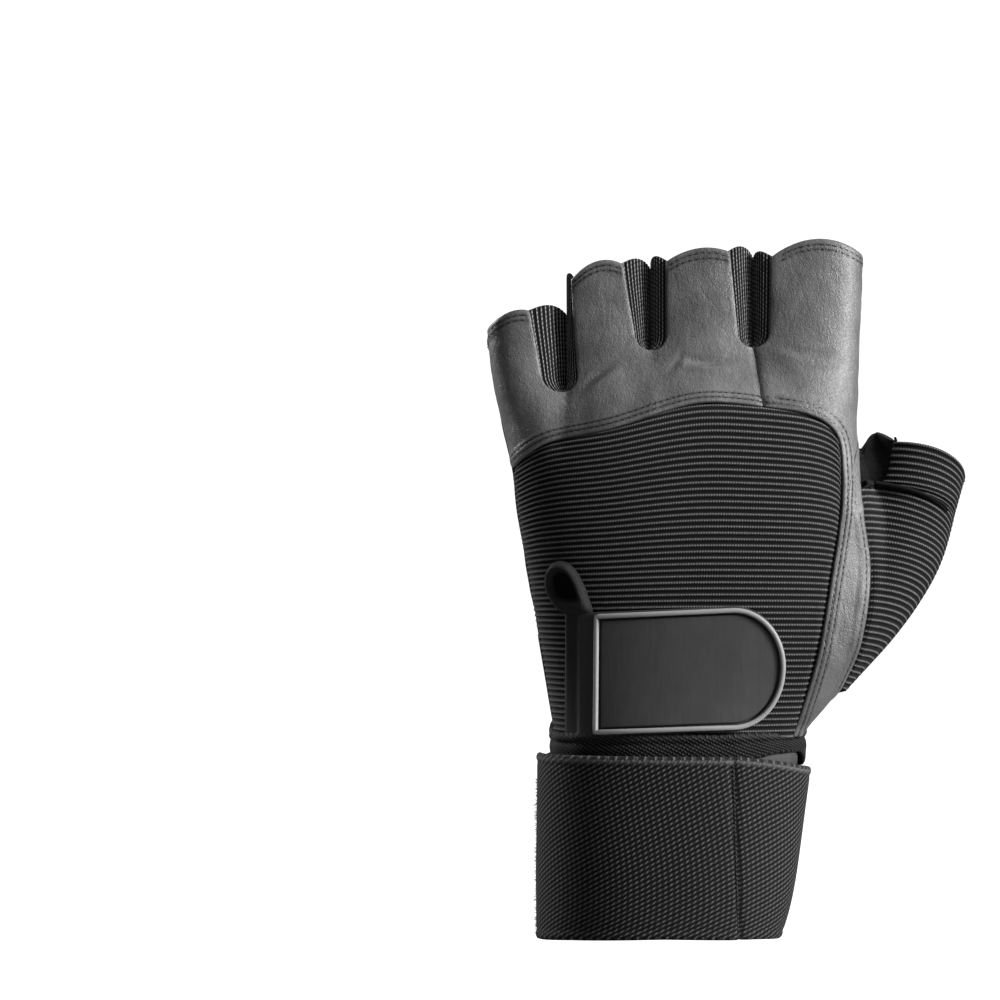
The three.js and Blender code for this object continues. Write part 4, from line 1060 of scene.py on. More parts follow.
def stripped_grid(side, last, foot, edge, drop=0.0, margin=0.0):
    """Flat grid with finger strips and slots: above, each strip is ruled between its two edges;
    below, the row at the slots' bottoms is ruled down to the foot line. edge(row) is the right
    edge of the last finger's strip and of all below it."""
    slots = [slot_outline(f, side, -margin) for f in range(last)]
    t = span(LEG_STEPS + 1)
    outer = side_line(mix(lip_height(0, 0, side), up_to(SLOTS[side]["floor"][0]), t), 0, margin)
    blocks = []
    for f in range(last + 1):
        a = slots[f - 1][2] if f else outer
        b = slots[f][0] if f < last else edge(np.arange(LEG_STEPS + 1))
        u = strip_spread(f, span(FINGER_STEPS + 1))
        strip = mix(a[:, None], b[:, None], u[None, :, None])
        flat_lip = mix(a[0, 1], b[0, 1], u)
        crown = lip_height(f, u, side) - flat_lip
        strip[:, :, 1] += crown[None] * (1 - t[:, None]) ** 2 - drop * (1 - t[:, None])
        blocks.append(strip)
        if f < last:
            blocks.append(np.repeat(slots[f][1][1:-1][None], LEG_STEPS + 1, axis=0))
    upper = np.concatenate(blocks, axis=1)
    base = upper[-1]
    total = len(base) - 1
    share = np.arange(total + 1) / total
    by_x = (base[:, 0] - base[0, 0]) / (base[-1, 0] - base[0, 0])
    v = np.arange(1, BODY_STEPS + 1) / BODY_STEPS
    lower = mix(base[None], foot(mix(share, by_x, 0.8))[None], v[:, None, None])
    spread = 27 / 4 * v * (1 - v) ** 2
    lower[:, :, 0] += 1.3 * spread[:, None] * away_from_slots(total + 1)[None]
    own = silhouettes(lower[:, 0, 1])[0] + margin
    lower[:, :, 0] += (own - lower[:, 0, 0])[:, None] * ((1 - share) ** 6)[None, :]
    own = edge(LEG_STEPS + np.arange(1, BODY_STEPS + 1))
    lower += (own - lower[:, -1])[:, None] * (share**6)[None, :, None]
    block = FINGER_STEPS + ARC_STEPS

    def skip(r, c):
        return (r < LEG_STEPS) & (c % block >= FINGER_STEPS)

    return np.concatenate([upper, lower]), skip


PANEL_SEAM = by_length(np.vstack([seam(KNUCKLE_SEAM)(span(200)),
                                  seam(INDEX_SEAM)(np.linspace(0.005, 1, 300))]))
STRIP_LINE = seam(STRIP_EDGE)


def lip_line(f, side, below, ends=0.03):
    """Flat line across a finger, some millimetres below its mouth."""
    slots = SLOTS[side]
    t = np.linspace(ends, 1 - ends, 60)
    left = silhouettes(lip_height(f, 0, side))[0] if f == 0 else slots["top_right"][f - 1] * PALM_WIDTH
    right = silhouettes(lip_height(f, 1, side))[1] if f == 3 else slots["top_left"][f] * PALM_WIDTH
    spread = strip_spread(f, t)
    return np.stack([mix(left, right, spread), lip_height(f, spread, side) - below], axis=1)


def panel_row(distance, low=0.0, high=1.0):
    """Flat line beside the seam of the stretch panel, on the leather."""
    return shifted_line(PANEL_SEAM(np.linspace(low, high, 500)), -distance)


def strip_row(distance, low=0.0, high=1.0):
    """Flat line inside the outer edge of the leather strip."""
    return shifted_line(STRIP_LINE(np.linspace(low, high, 300)), distance)


KNUCKLE_SHARE = seam(KNUCKLE_SEAM).length / PANEL_SEAM.length
RELIEFS = {}
BACK_ROWS = {
    "knuckle": [lip_line(f, "back", d) for f in (0, 1, 2) for d in BACK_LIP_ROWS]
    + [panel_row(d, 0.004, KNUCKLE_SHARE - 0.002) for d in SEAM_ROWS],
    "index": [lip_line(3, "back", d, 0.06) for d in BACK_LIP_ROWS]
    + [panel_row(d, KNUCKLE_SHARE + 0.002, 1.0) for d in SEAM_ROWS]
    + [strip_row(SEAM_ROWS[0], 0.3, 1.0)],
}
BUTT_DEPTH, BUTT_WIDTH = 0.5, 0.45
BUTT_SEAM = np.linspace((0.205 * PALM_WIDTH, up_to(0.78)), (0.225 * PALM_WIDTH, up_to(0.665)), 120)


def on_side(side, lines):
    """Flat lines brought onto one side of the glove."""
    return [on_surface(line, side) for line in lines]


def leather_height(points, rows, edges, seed):
    """Relief of a leather in millimetres: soft waves, a sunk line at each row of thread, a swelling
    where the turned-in edge is doubled, and a step down where it ends."""
    total = 0.22 * waves(points, 26, seed) + 0.08 * waves(points, 8, seed + 1)
    for line in rows:
        total -= 0.26 * bell(nearness(points, line), 0.34)
    for line in edges:
        d = nearness(points, line)
        total += 0.3 * (1 - ease((d - 2.6) / 1.6)) - 0.22 * bell(d, 0.5)
    return total


def creases(points, lines):
    """Shallow folds along given lines: a valley whose depth is a sine along the line, with a low ridge below
    it."""
    total = np.zeros(len(points))
    for line, depth, width in lines:
        near = np.flatnonzero(nearness(points, line[::6]) < 5 * width + 3)
        away = points[near][:, None] - line[None, ::3]
        gap = np.sqrt((away**2).sum(axis=2))
        k = gap.argmin(axis=1)
        d = gap.min(axis=1)
        below = away[np.arange(len(near)), k, 2] < 0
        fade = np.sin(np.pi * k / (gap.shape[1] - 1))
        total[near] += fade * depth * (0.55 * bell(d - 1.7 * width, width) * below - bell(d, width))
    return total


def thread_groove_shade(points, rows, width=0.38):
    """How deep in a line of thread a point lies, from 0 to 1: the mask of the painted shade in the thread's
    groove.
    """
    deepest = np.zeros(len(points))
    for line in rows:
        deepest = np.maximum(deepest, bell(nearness(points, line), width))
    return deepest


def folds_on(side, *folds):
    """Creases for a side: each is points given as shares, a depth and a width."""
    return [(on_surface(seam(points)(span(120)), side), depth, width) for points, depth, width in folds]


def back_knuckle_leather():
    """Knuckles with the backs of the little, ring and middle finger: a stripped grid whose right
    edge is the index slot's left side and half its bottom, then the butt seam."""
    left, arc, _ = slot_outline(2, "back")
    half = ARC_STEPS // 2
    tail = span(BODY_STEPS - half + 1)[1:, None]
    seam_end = seam(KNUCKLE_SEAM)(1.0)
    line = np.vstack([left, arc[1:half + 1], mix(arc[half], seam_end, tail)])
    flat, skip = stripped_grid("back", 2, seam(KNUCKLE_SEAM), lambda k: line[k])
    rows = on_side("back", BACK_ROWS["knuckle"])
    lips = [lip_line(f, "back", 0.0, 0.0) for f in (0, 1, 2)]
    edges = on_side("back", lips + [panel_row(0, 0, KNUCKLE_SHARE)])
    butt = on_surface(BUTT_SEAM, "back")
    folds = folds_on(
        "back",
        ([(0.17, 0.757), (0.09, 0.752), (0.0, 0.762)], 0.65, 1.4),
        ([(-0.25, 0.7), (-0.2, 0.73), (-0.15, 0.75)], 0.6, 1.5),
        ([(0.02, 0.78), (0.0, 0.75), (-0.03, 0.73)], 0.3, 1.2))

    def height(points):
        return (leather_height(points, rows, edges, 3) + creases(points, folds)
                - BUTT_DEPTH * bell(nearness(points, butt), BUTT_WIDTH))

    RELIEFS["knuckle"] = height

    def values(points):
        # groove: painted shade along the rows of thread and the butt seam.
        return {"groove": np.maximum(thread_groove_shade(points, rows), bell(nearness(points, butt), 0.35))}

    cloth_piece("back_knuckle_leather", flat, "back", BACK_LEATHER, "back_leather", wall=LEATHER,
                height=height, skip=skip, rim=lambda r, c: c == 0, values=values)


def back_index_leather():
    """Index finger's back running on as a strip down the thumb side: rows ruled from the slot's
    right side, half its bottom, the butt seam and the panel's seam to the silhouette and the
    strip's outer edge."""
    _, arc, right = slot_outline(2, "back")
    half = ARC_STEPS // 2
    line = seam(INDEX_SEAM)
    down = BUTT_SEAM[::8][1:-1]
    corner, tail = 30, 90
    inner = np.vstack([right, arc[half:-1][::-1], down, line(0.42 * np.arange(corner + 1) / corner),
                       line(mix(0.42, 1, np.arange(1, tail + 1) / tail))])
    fork = len(right) + half + len(down) - 1
    row = np.arange(len(inner))
    past_fork = row - fork
    on_finger = past_fork <= corner
    lip = up_share(lip_height(3, 1, "back"))
    fork_up, corner_up = 0.74, STRIP_EDGE[0][1]
    up = np.where(past_fork <= 0, mix(lip, fork_up, clamp(row / fork)),
                  mix(fork_up, corner_up, clamp(past_fork / corner)))
    t = clamp((past_fork - corner) / tail)
    strip_end = 0.84
    low = mix(STRIP_EDGE[-1][1], 0.0, clamp((t - strip_end) / (1 - strip_end)))
    strip = np.where((t <= strip_end)[:, None], STRIP_LINE(t / strip_end), side_line(up_to(low), 1))
    outer = np.where(on_finger[:, None], side_line(up_to(up), 1), strip)
    u = span(FINGER_STEPS + 5)
    spread = np.where(on_finger[:, None], np.sin(np.pi / 2 * u)[None], u[None])
    flat = mix(inner[:, None], outer[:, None], spread[..., None])
    crown = lip_height(3, spread[0], "back") - mix(inner[0, 1], outer[0, 1], spread[0])
    flat[:, :, 1] += crown[None] * np.maximum(0, 1 - row / LEG_STEPS)[:, None] ** 2
    points = on_surface(flat, "back")
    at_middle = on_finger | (t > strip_end)
    points[at_middle, -1, 1] = curl(points[at_middle, -1, 2]) - 0.1
    rows = on_side("back", BACK_ROWS["index"])
    edges = on_side("back", [lip_line(3, "back", 0.0, 0.0), panel_row(0, KNUCKLE_SHARE, 1),
                             strip_row(0, 0.3, 1)])
    butt = on_surface(BUTT_SEAM, "back")
    folds = folds_on(
        "back",
        ([(0.27, 0.785), (0.33, 0.77), (0.43, 0.775)], 0.6, 1.4),
        ([(0.3, 0.74), (0.38, 0.755), (0.46, 0.745)], 0.35, 1.8))

    def height(p):
        return (leather_height(p, rows, edges, 11) + creases(p, folds)
                - BUTT_DEPTH * bell(nearness(p, butt), BUTT_WIDTH))

    RELIEFS["index"] = height

    def values(p):
        # groove: painted shade along the rows of thread and the butt seam.
        return {"groove": np.maximum(thread_groove_shade(p, rows), bell(nearness(p, butt), 0.35))}

    last = points.shape[1] - 1
    cloth_piece("back_index_leather", None, "back", BACK_LEATHER, "back_leather", wall=LEATHER,
                height=height, points=points, values=values,
                rim=lambda r, c: (c == last) & (r <= fork + corner))


# Ribbed stretch

def panel_ribs(points):
    """Number of ribs below the panel's top at each point: the ribs follow most of the seam's rise
    at the top and flatten out downwards."""
    seam_points = PANEL_SEAM(np.linspace(0, KNUCKLE_SHARE + 0.25, 200))
    crest = np.interp(points[:, 0], seam_points[:, 0], seam_points[:, 1])
    low = clamp((crest - points[:, 2]) / (up_to(0.6) - HAND_FLOOR))
    arch = (crest - up_to(0.63)) * 0.75 * (1 - low) ** 2.2
    return (points[:, 2] - arch) / RIB_PITCH


def rib_relief(turns):
    """Round ribs: a power of a half cosine of the number of ribs."""
    return (0.5 + 0.5 * np.cos(2 * np.pi * turns)) ** 0.8


def back_stretch_panel():
    """Panel between the seam, the silhouette and the cuff, its edge tucked under the leather."""
    tuck = 3.0
    line = by_length(panel_row(tuck))
    corner = 0.62
    left = by_length(side_line(np.linspace(line(0.0)[1], HAND_FLOOR - 0.5, 200), 0))
    top, right = part_of(line, 0.0, corner), part_of(line, corner, 1.0)
    flat = fill_edges(top, straight(left(1.0), right(1.0)), left, right, 110, 330)
    seam_line, tucked = on_surface(panel_row(0), "back"), on_surface(panel_row(tuck), "back")

    def height(points):
        clear = ease((nearness(points, tucked) - 2.2) / 3.4)
        drawn_in = 0.25 * bell(nearness(points, seam_line), 1.5)
        ribs = 0.5 * rib_relief(panel_ribs(points))
        return mix(-1.5, -0.5, clear) + (ribs + 0.12 * waves(points, 30, 5) - drawn_in) * clear

    def values(points):
        return {"rib": panel_ribs(points)}

    cloth_piece("back_stretch_panel", flat, "back", RIBBED, "ribbed_stretch", wall=STRETCH,
                height=height, rim=lambda r, c: c == 0, values=values)


def fourchette(i, name):
    """Wall between two fingers, from slot edge to slot edge: each line across it is half an oval
    that swings to the fingers' boundary, with the bulge a power of the sine."""
    back, palm = whole_slot(i, "back", -0.9), whole_slot(i, "palm", -0.9)
    total = len(back)
    k = np.arange(total)
    turn = np.pi * clamp((k - LEG_STEPS) / ARC_STEPS)
    on_leg = (k <= LEG_STEPS) | (k >= total - 1 - LEG_STEPS)
    hub = FINGERS["edge"][i] * PALM_WIDTH - FINGER_PARTING * np.cos(turn)
    rise = np.where(on_leg, 0, WEB_RISE * np.sin(turn))
    a, b = lifted(back, "back", -1.25), lifted(palm, "palm", -1.25)
    steps = 88
    angle = np.pi * span(steps + 1)[:, None]
    bulge = np.sin(angle) ** 0.8
    points = mix(a[None], b[None], ((1 - np.cos(angle)) / 2)[..., None])
    points[..., 0] += (hub - (a + b)[:, 0] / 2)[None] * bulge
    points[..., 2] += rise[None] * bulge
    level = np.minimum(k, total - 1 - k) / LEG_STEPS
    mouth = 2.2 * np.maximum(0, 1 - 3 * level) ** 2
    points[..., 2] += mouth[None] * np.sin(2 * np.minimum(angle, np.pi / 2))
    across = np.repeat(WALL_RIBS * angle.ravel() / np.pi, total)

    def height(p):
        ends = np.minimum(1, np.minimum(angle, np.pi - angle) / 0.35)
        return 0.3 * rib_relief(across) * np.broadcast_to(ends, (steps + 1, total)).ravel()

    cloth_piece(name, None, "back", KNIT, "ribbed_stretch", wall=0.9, height=height, points=points,
                flip=True, values=lambda p: {"rib": across})


# Palm, heel and thumb

def palm_edge(margin, drop):
    """Right edge of the palm sheets: the index finger's silhouette, then the edge of the web."""
    web_rows = round(BODY_STEPS * 0.375)
    above = LEG_STEPS + BODY_STEPS - web_rows
    lip = up_share(lip_height(3, 1, "palm") - drop)
    web = seam(WEB_PALM_EDGE)

    def edge(k):
        z = up_to(mix(lip, WEB_PALM_EDGE[0][1], clamp(k / above)))
        return np.where((k <= above)[:, None], side_line(z, 1, margin), web((k - above) / web_rows))

    return edge, above


def palm_flat(drop, margin):
    """Grid of a palm sheet; down to the web no column passes the silhouette, and columns that run
    into it stay the least step apart."""
    edge, above = palm_edge(margin, drop)
    foot = chain([seam(PALM_EDGE), reverse(seam(THUMB_BORDER))], [0.45, 1.0])
    flat, skip = stripped_grid("palm", 3, foot, edge, drop, margin)
    upper = flat[:above + 1]
    from_end = np.arange(upper.shape[1])[::-1]
    limit = silhouettes(upper[..., 1])[1] - margin - LEAST_STEP * from_end
    upper[..., 0] = np.minimum(upper[..., 0], limit)
    return flat, skip, above


def flat_line(*points):
    """Flat smooth line through points given as shares."""
    return seam(points)(span(200))


SUEDE_ROWS = [
    flat_line((-0.39, 0.545), (-0.1, 0.55), (0.2, 0.556), (0.46, 0.556)),
    flat_line((0.04, 0.55), (0.07, 0.46), (0.085, 0.34), (0.1, 0.25)),
    flat_line((0.055, 0.55), (0.085, 0.46), (0.1, 0.34), (0.112, 0.25)),
    flat_line((0.0, 0.53), (-0.1, 0.46), (-0.2, 0.37), (-0.33, 0.26)),
    flat_line((-0.4, 0.44), (-0.25, 0.38), (-0.1, 0.3), (0.05, 0.23)),
    flat_line((-0.34, 0.222), (-0.1, 0.222), (0.1, 0.245)),
]


def palm_leather():
    """Palm and finger fronts: the stripped grid of the palm, with bound edges round the slots and mouths,
    near which the leather is painted lighter as painted light."""
    flat, skip, above = palm_flat(0.0, 0.0)
    rows = on_side("palm", [lip_line(f, "palm", d, 0.06) for f in range(4) for d in PALM_LIP_ROWS])
    slots = [whole_slot(i, "palm") for i in range(3)]
    edges = on_side("palm", [lip_line(f, "palm", 0.0, 0.0) for f in range(4)])
    bound = on_side("palm", slots)
    end = flat.shape[1] - 1

    def height(points):
        total = leather_height(points, rows, edges, 21)
        for line in bound:
            d = nearness(points, line)
            total += 0.35 * bell(d - 1.2, 1.3) - 0.3 * bell(d, 0.4)
        return total

    RELIEFS["palm"] = height

    def values(points):
        near = np.full(len(points), 99.0)
        for line in edges + bound:
            near = np.minimum(near, nearness(points, line))
        # groove is painted shade in the rows of thread; hem paints light on the leather near the mouths and
        # slots.
        return {"groove": thread_groove_shade(points, rows), "hem": 1 - ease((near - 5.5) / 3.5)}

    cloth_piece("palm_leather", flat, "palm", PALM_SHADED_LEATHER, "palm_leather", wall=LEATHER, height=height,
                skip=skip, rim=lambda r, c: (c == 0) | ((c == end) & (r <= above)), values=values)


def palm_suede():
    """Suede laid over the palm leather: the same grid with its mouths lowered and its slots
    widened, lifted by its own thickness and quilted along its rows of thread."""
    flat, skip, _ = palm_flat(SUEDE_DROP, SUEDE_MARGIN)
    rows = on_side("palm", SUEDE_ROWS)
    tops = on_side("palm", [lip_line(f, "palm", SUEDE_DROP + 1.7, 0.1) for f in range(4)])

    def height(points):
        left, right = silhouettes(points[:, 2])
        inward = ease(np.minimum(points[:, 0] - left, right - points[:, 0]) / 7)
        by_thumb = np.maximum(inward, ease((points[:, 0] - 40) / 10))
        inward = np.where(points[:, 2] < up_to(0.57), by_thumb, inward)
        total = mix(0.1, 1.05 + 0.3 * waves(points, 16, 31) + 0.12 * waves(points, 5, 32), inward)
        for line in rows + tops:
            total -= 0.35 * bell(nearness(points, line), 0.6)
        return total

    RELIEFS["suede"] = height

    def values(points):
        # groove: painted shade along the suede's quilted rows.
        return {"groove": thread_groove_shade(points, rows + tops, 0.6)}

    cloth_piece("palm_suede", flat, "palm", SUEDE_CLOTH, "suede", wall=SUEDE, height=height, skip=skip,
                values=values, rests=["palm_leather"])


def heel_leather():
    """Heel of the hand: filled between the palm's edge, the thumb's curved seam, the silhouettes
    and the cuff, with soft upright folds that deepen downwards."""
    left, corner = (by_length(side_line(np.linspace(up_to(top), HAND_FLOOR - 0.4, 80), which))
                    for which, top in ((0, PALM_EDGE[0][1]), (1, STRIP_EDGE[-1][1])))
    seam_end = seam(HEEL_SEAM)(1.0)
    top = chain([seam(PALM_EDGE), seam(HEEL_SEAM), straight(seam_end, corner(0.0))], [0.5, 0.85, 1.0])
    columns = 90
    flat = fill_edges(top, straight(left(1.0), corner(1.0)), left, corner, columns, 46)
    row = on_surface(shifted_line(seam(HEEL_SEAM)(span(200)), 1.6), "palm")
    low_row = on_surface(straight((-30, HAND_FLOOR + 2.0), (34, HAND_FLOOR + 2.0))(span(300)), "palm")
    folds = folds_on(
        "palm",
        ([(-0.3, 0.16), (-0.2, 0.15), (-0.12, 0.11)], 0.5, 2.4),
        ([(-0.2, 0.11), (-0.16, 0.07), (-0.15, 0.02)], 0.45, 1.9),
        ([(-0.02, 0.1), (0.0, 0.06), (-0.01, 0.01)], 0.35, 2.0),
        ([(-0.3, 0.07), (-0.27, 0.04), (-0.28, 0.0)], 0.4, 1.6))

    def height(points):
        total = 0.35 * waves(points, 22, 41) + creases(points, folds)
        return total - 0.25 * bell(nearness(points, row), 0.35)

    RELIEFS["heel"] = height

    def values(points):
        # groove: painted shade along the heel's rows of thread.
        return {"groove": thread_groove_shade(points, [row, low_row])}

    cloth_piece("heel_leather", flat, "palm", PALM_SHADED_LEATHER, "palm_leather", wall=LEATHER, height=height,
                values=values, rim=lambda r, c: (c == 0) | (c == columns))


def thumb_palm_leather():
    """Thumb's front and ball: filled between the mouth, the rib seam, the heel's curved seam and
    the suede, lying just over the heel leather."""
    outer, inner = seam(THUMB_SEAM), seam(THUMB_BORDER)
    flat = fill_edges(straight(outer(0.0), inner(0.0)), reverse(seam(HEEL_SEAM)), outer, inner, 44, 80)
    rows = on_side("palm", [shifted_line(seam(HEEL_SEAM)(span(240)), -1.0),
                       shifted_line(outer(np.linspace(0.02, 1, 300)), -0.9)])
    lip = straight(outer(0.0), inner(0.0))(span(80))
    mouth_rows = on_side("palm", [lip - (0, 1.4), lip - (0, 2.9)])
    edge = on_side("palm", [outer(span(300)), lip])
    folds = folds_on(
        "palm",
        ([(0.68, 0.45), (0.64, 0.425), (0.57, 0.42)], 0.5, 1.6),
        ([(0.6, 0.36), (0.55, 0.38), (0.5, 0.4)], 0.3, 1.8))

    def height(points):
        return 0.15 + leather_height(points, rows + mouth_rows, edge, 51) + creases(points, folds)

    RELIEFS["thumb"] = height

    def values(points):
        near = nearness(points, edge[1])
        # groove is painted shade in the rows of thread; hem paints light on the leather next to the thumb's
        # mouth.
        return {"groove": thread_groove_shade(points, rows + mouth_rows), "hem": 0.6 * (1 - ease((near - 2) / 2))}

    cloth_piece("thumb_palm_leather", flat, "palm", PALM_SHADED_LEATHER, "palm_leather", wall=LEATHER,
                height=height, values=values, flip=False)


def thumb_rows(tuck):
    """Rows of the thumb's stretch as points: from the strip's edge on the back, over the thumb's
    outer line, to the seam of the thumb's front. Each half is a quarter oval in x and z."""
    strip = part_of(STRIP_LINE, 0.17, 1.0)
    back_line = chain([reverse(seam(WEB_FOOT)), strip], [0.22, 1.0])
    front_line = seam(THUMB_SEAM)
    v = span(261)
    a, b = back_line(v), front_line(v)
    a = shifted_line(a, tuck * ease((v - 0.2) / 0.1)[:, None])
    z_side = up_to(mix(THUMB_CORNER, STRIP_EDGE[-1][1], v))
    middle, lean, half, _ = thumb_section(z_side)
    tip = np.stack([middle + half, z_side], axis=1)
    t = span(41)

    def quarter(start, side):
        x = mix(start[:, None, 0], tip[:, None, 0], np.sin(np.pi / 2 * t)[None])
        z = mix(start[:, None, 1], tip[:, None, 1], (1 - np.cos(np.pi / 2 * t))[None])
        return on_surface(np.stack([x, z], axis=-1), side)

    back, front = quarter(a, "back"), quarter(b, "palm")
    back[:, -1, 1] = lean
    return np.concatenate([back, front[:, :-1][:, ::-1]], axis=1), v


def thumb_back_stretch():
    """Ribbed stretch round the thumb: the ribs are its rows, so they fan out from the strip."""
    points, v = thumb_rows(2.0)
    columns = points.shape[1]
    strip = on_surface(strip_row(0, 0.0, 1.0), "back")
    front = on_surface(seam(THUMB_SEAM)(span(300)), "palm")
    turns = np.repeat(THUMB_RIBS * v, columns)
    fold = np.repeat(bell(v - 0.17, 0.012), columns)

    def height(p):
        near = np.minimum(nearness(p, strip), nearness(p, front) * 1.5)
        under = ease((near - 0.2) / 2.2)
        return mix(-1.2, -0.25, under) + 0.45 * rib_relief(turns) * under - 0.5 * fold * under

    cloth_piece("thumb_back_stretch", None, "back", RIBBED, "ribbed_stretch", wall=STRETCH,
                height=height, points=points, values=lambda p: {"rib": turns})


def web_suede():
    """Suede over the fork of the thumb: rows from the foot on the back over the crest to the palm."""
    t = np.linspace(0.0, 1.0, 40)
    foot, crest, front = seam(WEB_FOOT)(t), seam(WEB_CREST)(t), seam(WEB_PALM_EDGE)(t)
    a, b = on_surface(foot, "back"), on_surface(crest, "back")
    c, d = on_surface(crest, "palm"), on_surface(front, "palm")
    keys = [a, mix(a, b, 0.5), b, mix(b, c, 0.5) + (0, 0, 1.2), c, d]
    # The web takes the darkened suede copy: painted shade.
    cloth_piece("web_suede", None, "back", WEB_SHADE_SUEDE, "suede", wall=SUEDE, points=through(keys, 9)[::-1],
                height=lambda p: -0.5 + 0.2 * waves(p, 7, 61), values=lambda p: {"groove": np.zeros(len(p))})


# Wrist

def wrap_top(turn):
    """Height of the wrap's upper edge round the wrist, lower on the thumb side and the palm."""
    stops = [0.0, 0.2, 0.31, 0.36, 0.43, 0.5, 0.56, 0.66, 0.78, 0.9, 1.0]
    drops = [0.0, 0.0, 0.2, 1.4, 3.4, 4.4, 4.6, 7.0, 7.4, 5.4, 2.0]
    return WRAP_HEIGHT - np.interp(turn % 1.0, stops, drops)


def wrap_bottom(turn):
    """Height of the wrap's lower edge, which rises a little over the back of the wrist."""
    stops = [0.0, 0.12, 0.25, 0.38, 0.5, 0.62, 0.75, 0.9, 1.0]
    return np.interp(turn % 1.0, stops, [0.4, 1.6, 2.4, 1.6, 0.5, 0.4, 0.2, 0.5, 0.4])


def seam_turn(z, out):
    """Turn of the wrap's sewn line at a height: where the ring reaches the line's place across."""
    turns = np.linspace(0.2, 0.42, 80)
    across = ring_point(turns, z, out)[:, 0]
    return np.interp(mix(WRAP_SEAM_LOW, WRAP_SEAM_HIGH, z / WRAP_HEIGHT), across, turns)


def wrist_wrap():
    """Elastic wrap wound from the inside out: its offset falls evenly from the free end, which lies
    outermost at the little finger's side. Its edges are rolled hems."""
    t, v = span(481), span(61)
    turn = WRAP_TURNS * t
    v = mix(v, ease(v), 0.35)
    top = wrap_top(turn) - 1.2 * ease((turn - 1.0) / 0.1)
    z = mix(top[None], wrap_bottom(turn)[None], v[:, None])
    out = WRAP_OFFSET + TURN_GROWTH * WRAP_TURNS * (1 - t)
    points = ring_point(turn[None], z, out[None])
    sewn_at = np.array([seam_turn(level, SEAM_OUT) for level in mix(WRAP_HEIGHT, 0.0, v)])
    beside = (turn[None] - sewn_at[:, None]) * WRIST_ROUND

    def height(p):
        edge = np.minimum(v, 1 - v) * WRAP_HEIGHT
        hem = 0.25 * bell(edge - 0.8, 0.8) - 0.2 * bell(edge - 2.2, 0.5)
        step = 0.5 * ease(-beside / 1.5) - 0.7 * bell(beside, 0.8)
        return np.repeat(hem, len(t)) + 0.25 * waves(p, 34, 71) + step.ravel()

    def values(p):
        lay = np.where(turn % 1.0 < 0.5, 1.0, -1.0)
        # seam_line: painted shade along the sewn line's step, notched like its stitches.
        notches = 0.75 + 0.25 * np.cos(v * WRAP_HEIGHT * 2 * np.pi / 2.4)
        seam_line = (notches[:, None] * bell(beside, 0.8)).ravel()
        edge = np.repeat(0.8 * bell((v - 0.014) * WRAP_HEIGHT, 0.5), len(t))
        return {"lay": np.tile(lay, len(v)), "groove": seam_line, "hem": edge}

    cloth_piece("wrist_wrap", None, "back", ELASTIC, "elastic_webbing", wall=WEBBING, height=height,
                points=points, values=values, held="folded")


def closed_ring(name, low, high, out, wall, material, slot, relief, rows=20, columns=240):
    """Ring of cloth round the wrist between two heights; relief(turns, shares) raises it outwards
    and upwards."""
    turns, shares = np.meshgrid(np.arange(columns) / columns, span(rows + 1))
    base = ring_point(turns, mix(high, low, shares), out).reshape(-1, 3)
    quads = grid_quads(rows + 1, columns, closed=True)
    normals = vertex_normals(base, quads)
    outwards, upwards = relief(turns, shares)
    raised = base + normals * outwards.reshape(-1, 1) + (0, 0, 1.0) * upwards.reshape(-1, 1)
    made, faces, source, depth = walled(raised, quads, normals, wall)
    run = run_along(np.vstack([base[:columns], base[:1]]))
    uv = np.stack([np.tile(run[:-1], rows + 1), base[:, 2]], axis=1)[source]
    obj = new_mesh(name, made, faces, material, uv=uv, wrap=run[-1],
                   values={"inside": depth, "lay": -np.ones(len(made)), "groove": np.zeros(len(made)),
                           "hem": 0.5 * bell(made[:, 2] - high, 0.5)})
    declare_sheet(finish_piece(obj, slot, name), *cut_size(raised, rows + 1, columns, quads), "stretched")


def cuff_relief(turns, shares):
    """Gathered band: waves round the wrist, deeper at its upper edge, and a rolled upper hem."""
    angle = 2 * np.pi * turns
    wave = np.sin(17 * angle + 2 * np.sin(3 * angle))
    rolls = sum(height * bell(shares - at, width)
                for at, height, width in ((0.13, 0.35, 0.12), (0.33, -0.4, 0.07), (0.6, 0.2, 0.15)))
    out = 0.14 * wave * (1 - 0.5 * shares) + rolls
    palm = ease((turns - 0.45) / 0.08) * ease((1.0 - turns) / 0.05)
    thumb = ease((turns - 0.3) / 0.1) * (1 - ease((turns - 0.45) / 0.08))
    up = 0.25 * np.sin(9 * angle + 1) * (1 - shares) ** 2
    return out + 0.7 * palm, up + palm * (3.2 - 5.4 * shares) + thumb * (0.2 + 2.4 * shares)


def facing_relief(turns, shares):
    """Smooth strip with a few small folds where the wrap squeezes it."""
    places = ((0.6, 0.7), (0.655, 0.6), (0.7, -0.4), (0.745, 0.7), (0.84, -0.3), (0.43, 0.4))
    folds = sum(bell((turns - at) * WRIST_ROUND, 1.6) * depth for at, depth in places)
    return folds * ease((1 - np.abs(shares - 0.5) * 2) * 1.5), np.zeros_like(turns)


# Strap

def strap_outline(inset, tab):
    """Edge lines of the strap: straight sides and a half oval tip at the right."""
    left = STRAP_LEFT + inset - tab
    tip_start = STRAP_LEFT + STRAP_LENGTH - STRAP_TIP
    half = STRAP_HEIGHT / 2 - inset

    def middle(x):
        return STRAP_FLOOR + STRAP_HEIGHT / 2 + STRAP_RISE * (x - STRAP_LEFT)

    def edge(x, sign):
        return np.stack([x, middle(x) + sign * half], axis=-1)

    def tip(t):
        angle = np.pi / 2 - np.pi * np.asarray(t, float)
        x = tip_start + (STRAP_TIP - inset) * np.cos(angle)
        return np.stack([x, middle(x) + half * np.sin(angle)], axis=-1)

    corners = [edge(np.float64(x), sign) for x in (left, tip_start) for sign in (1, -1)]
    return *(straight(corners[a], corners[b]) for a, b in ((0, 2), (1, 3), (0, 1))), tip


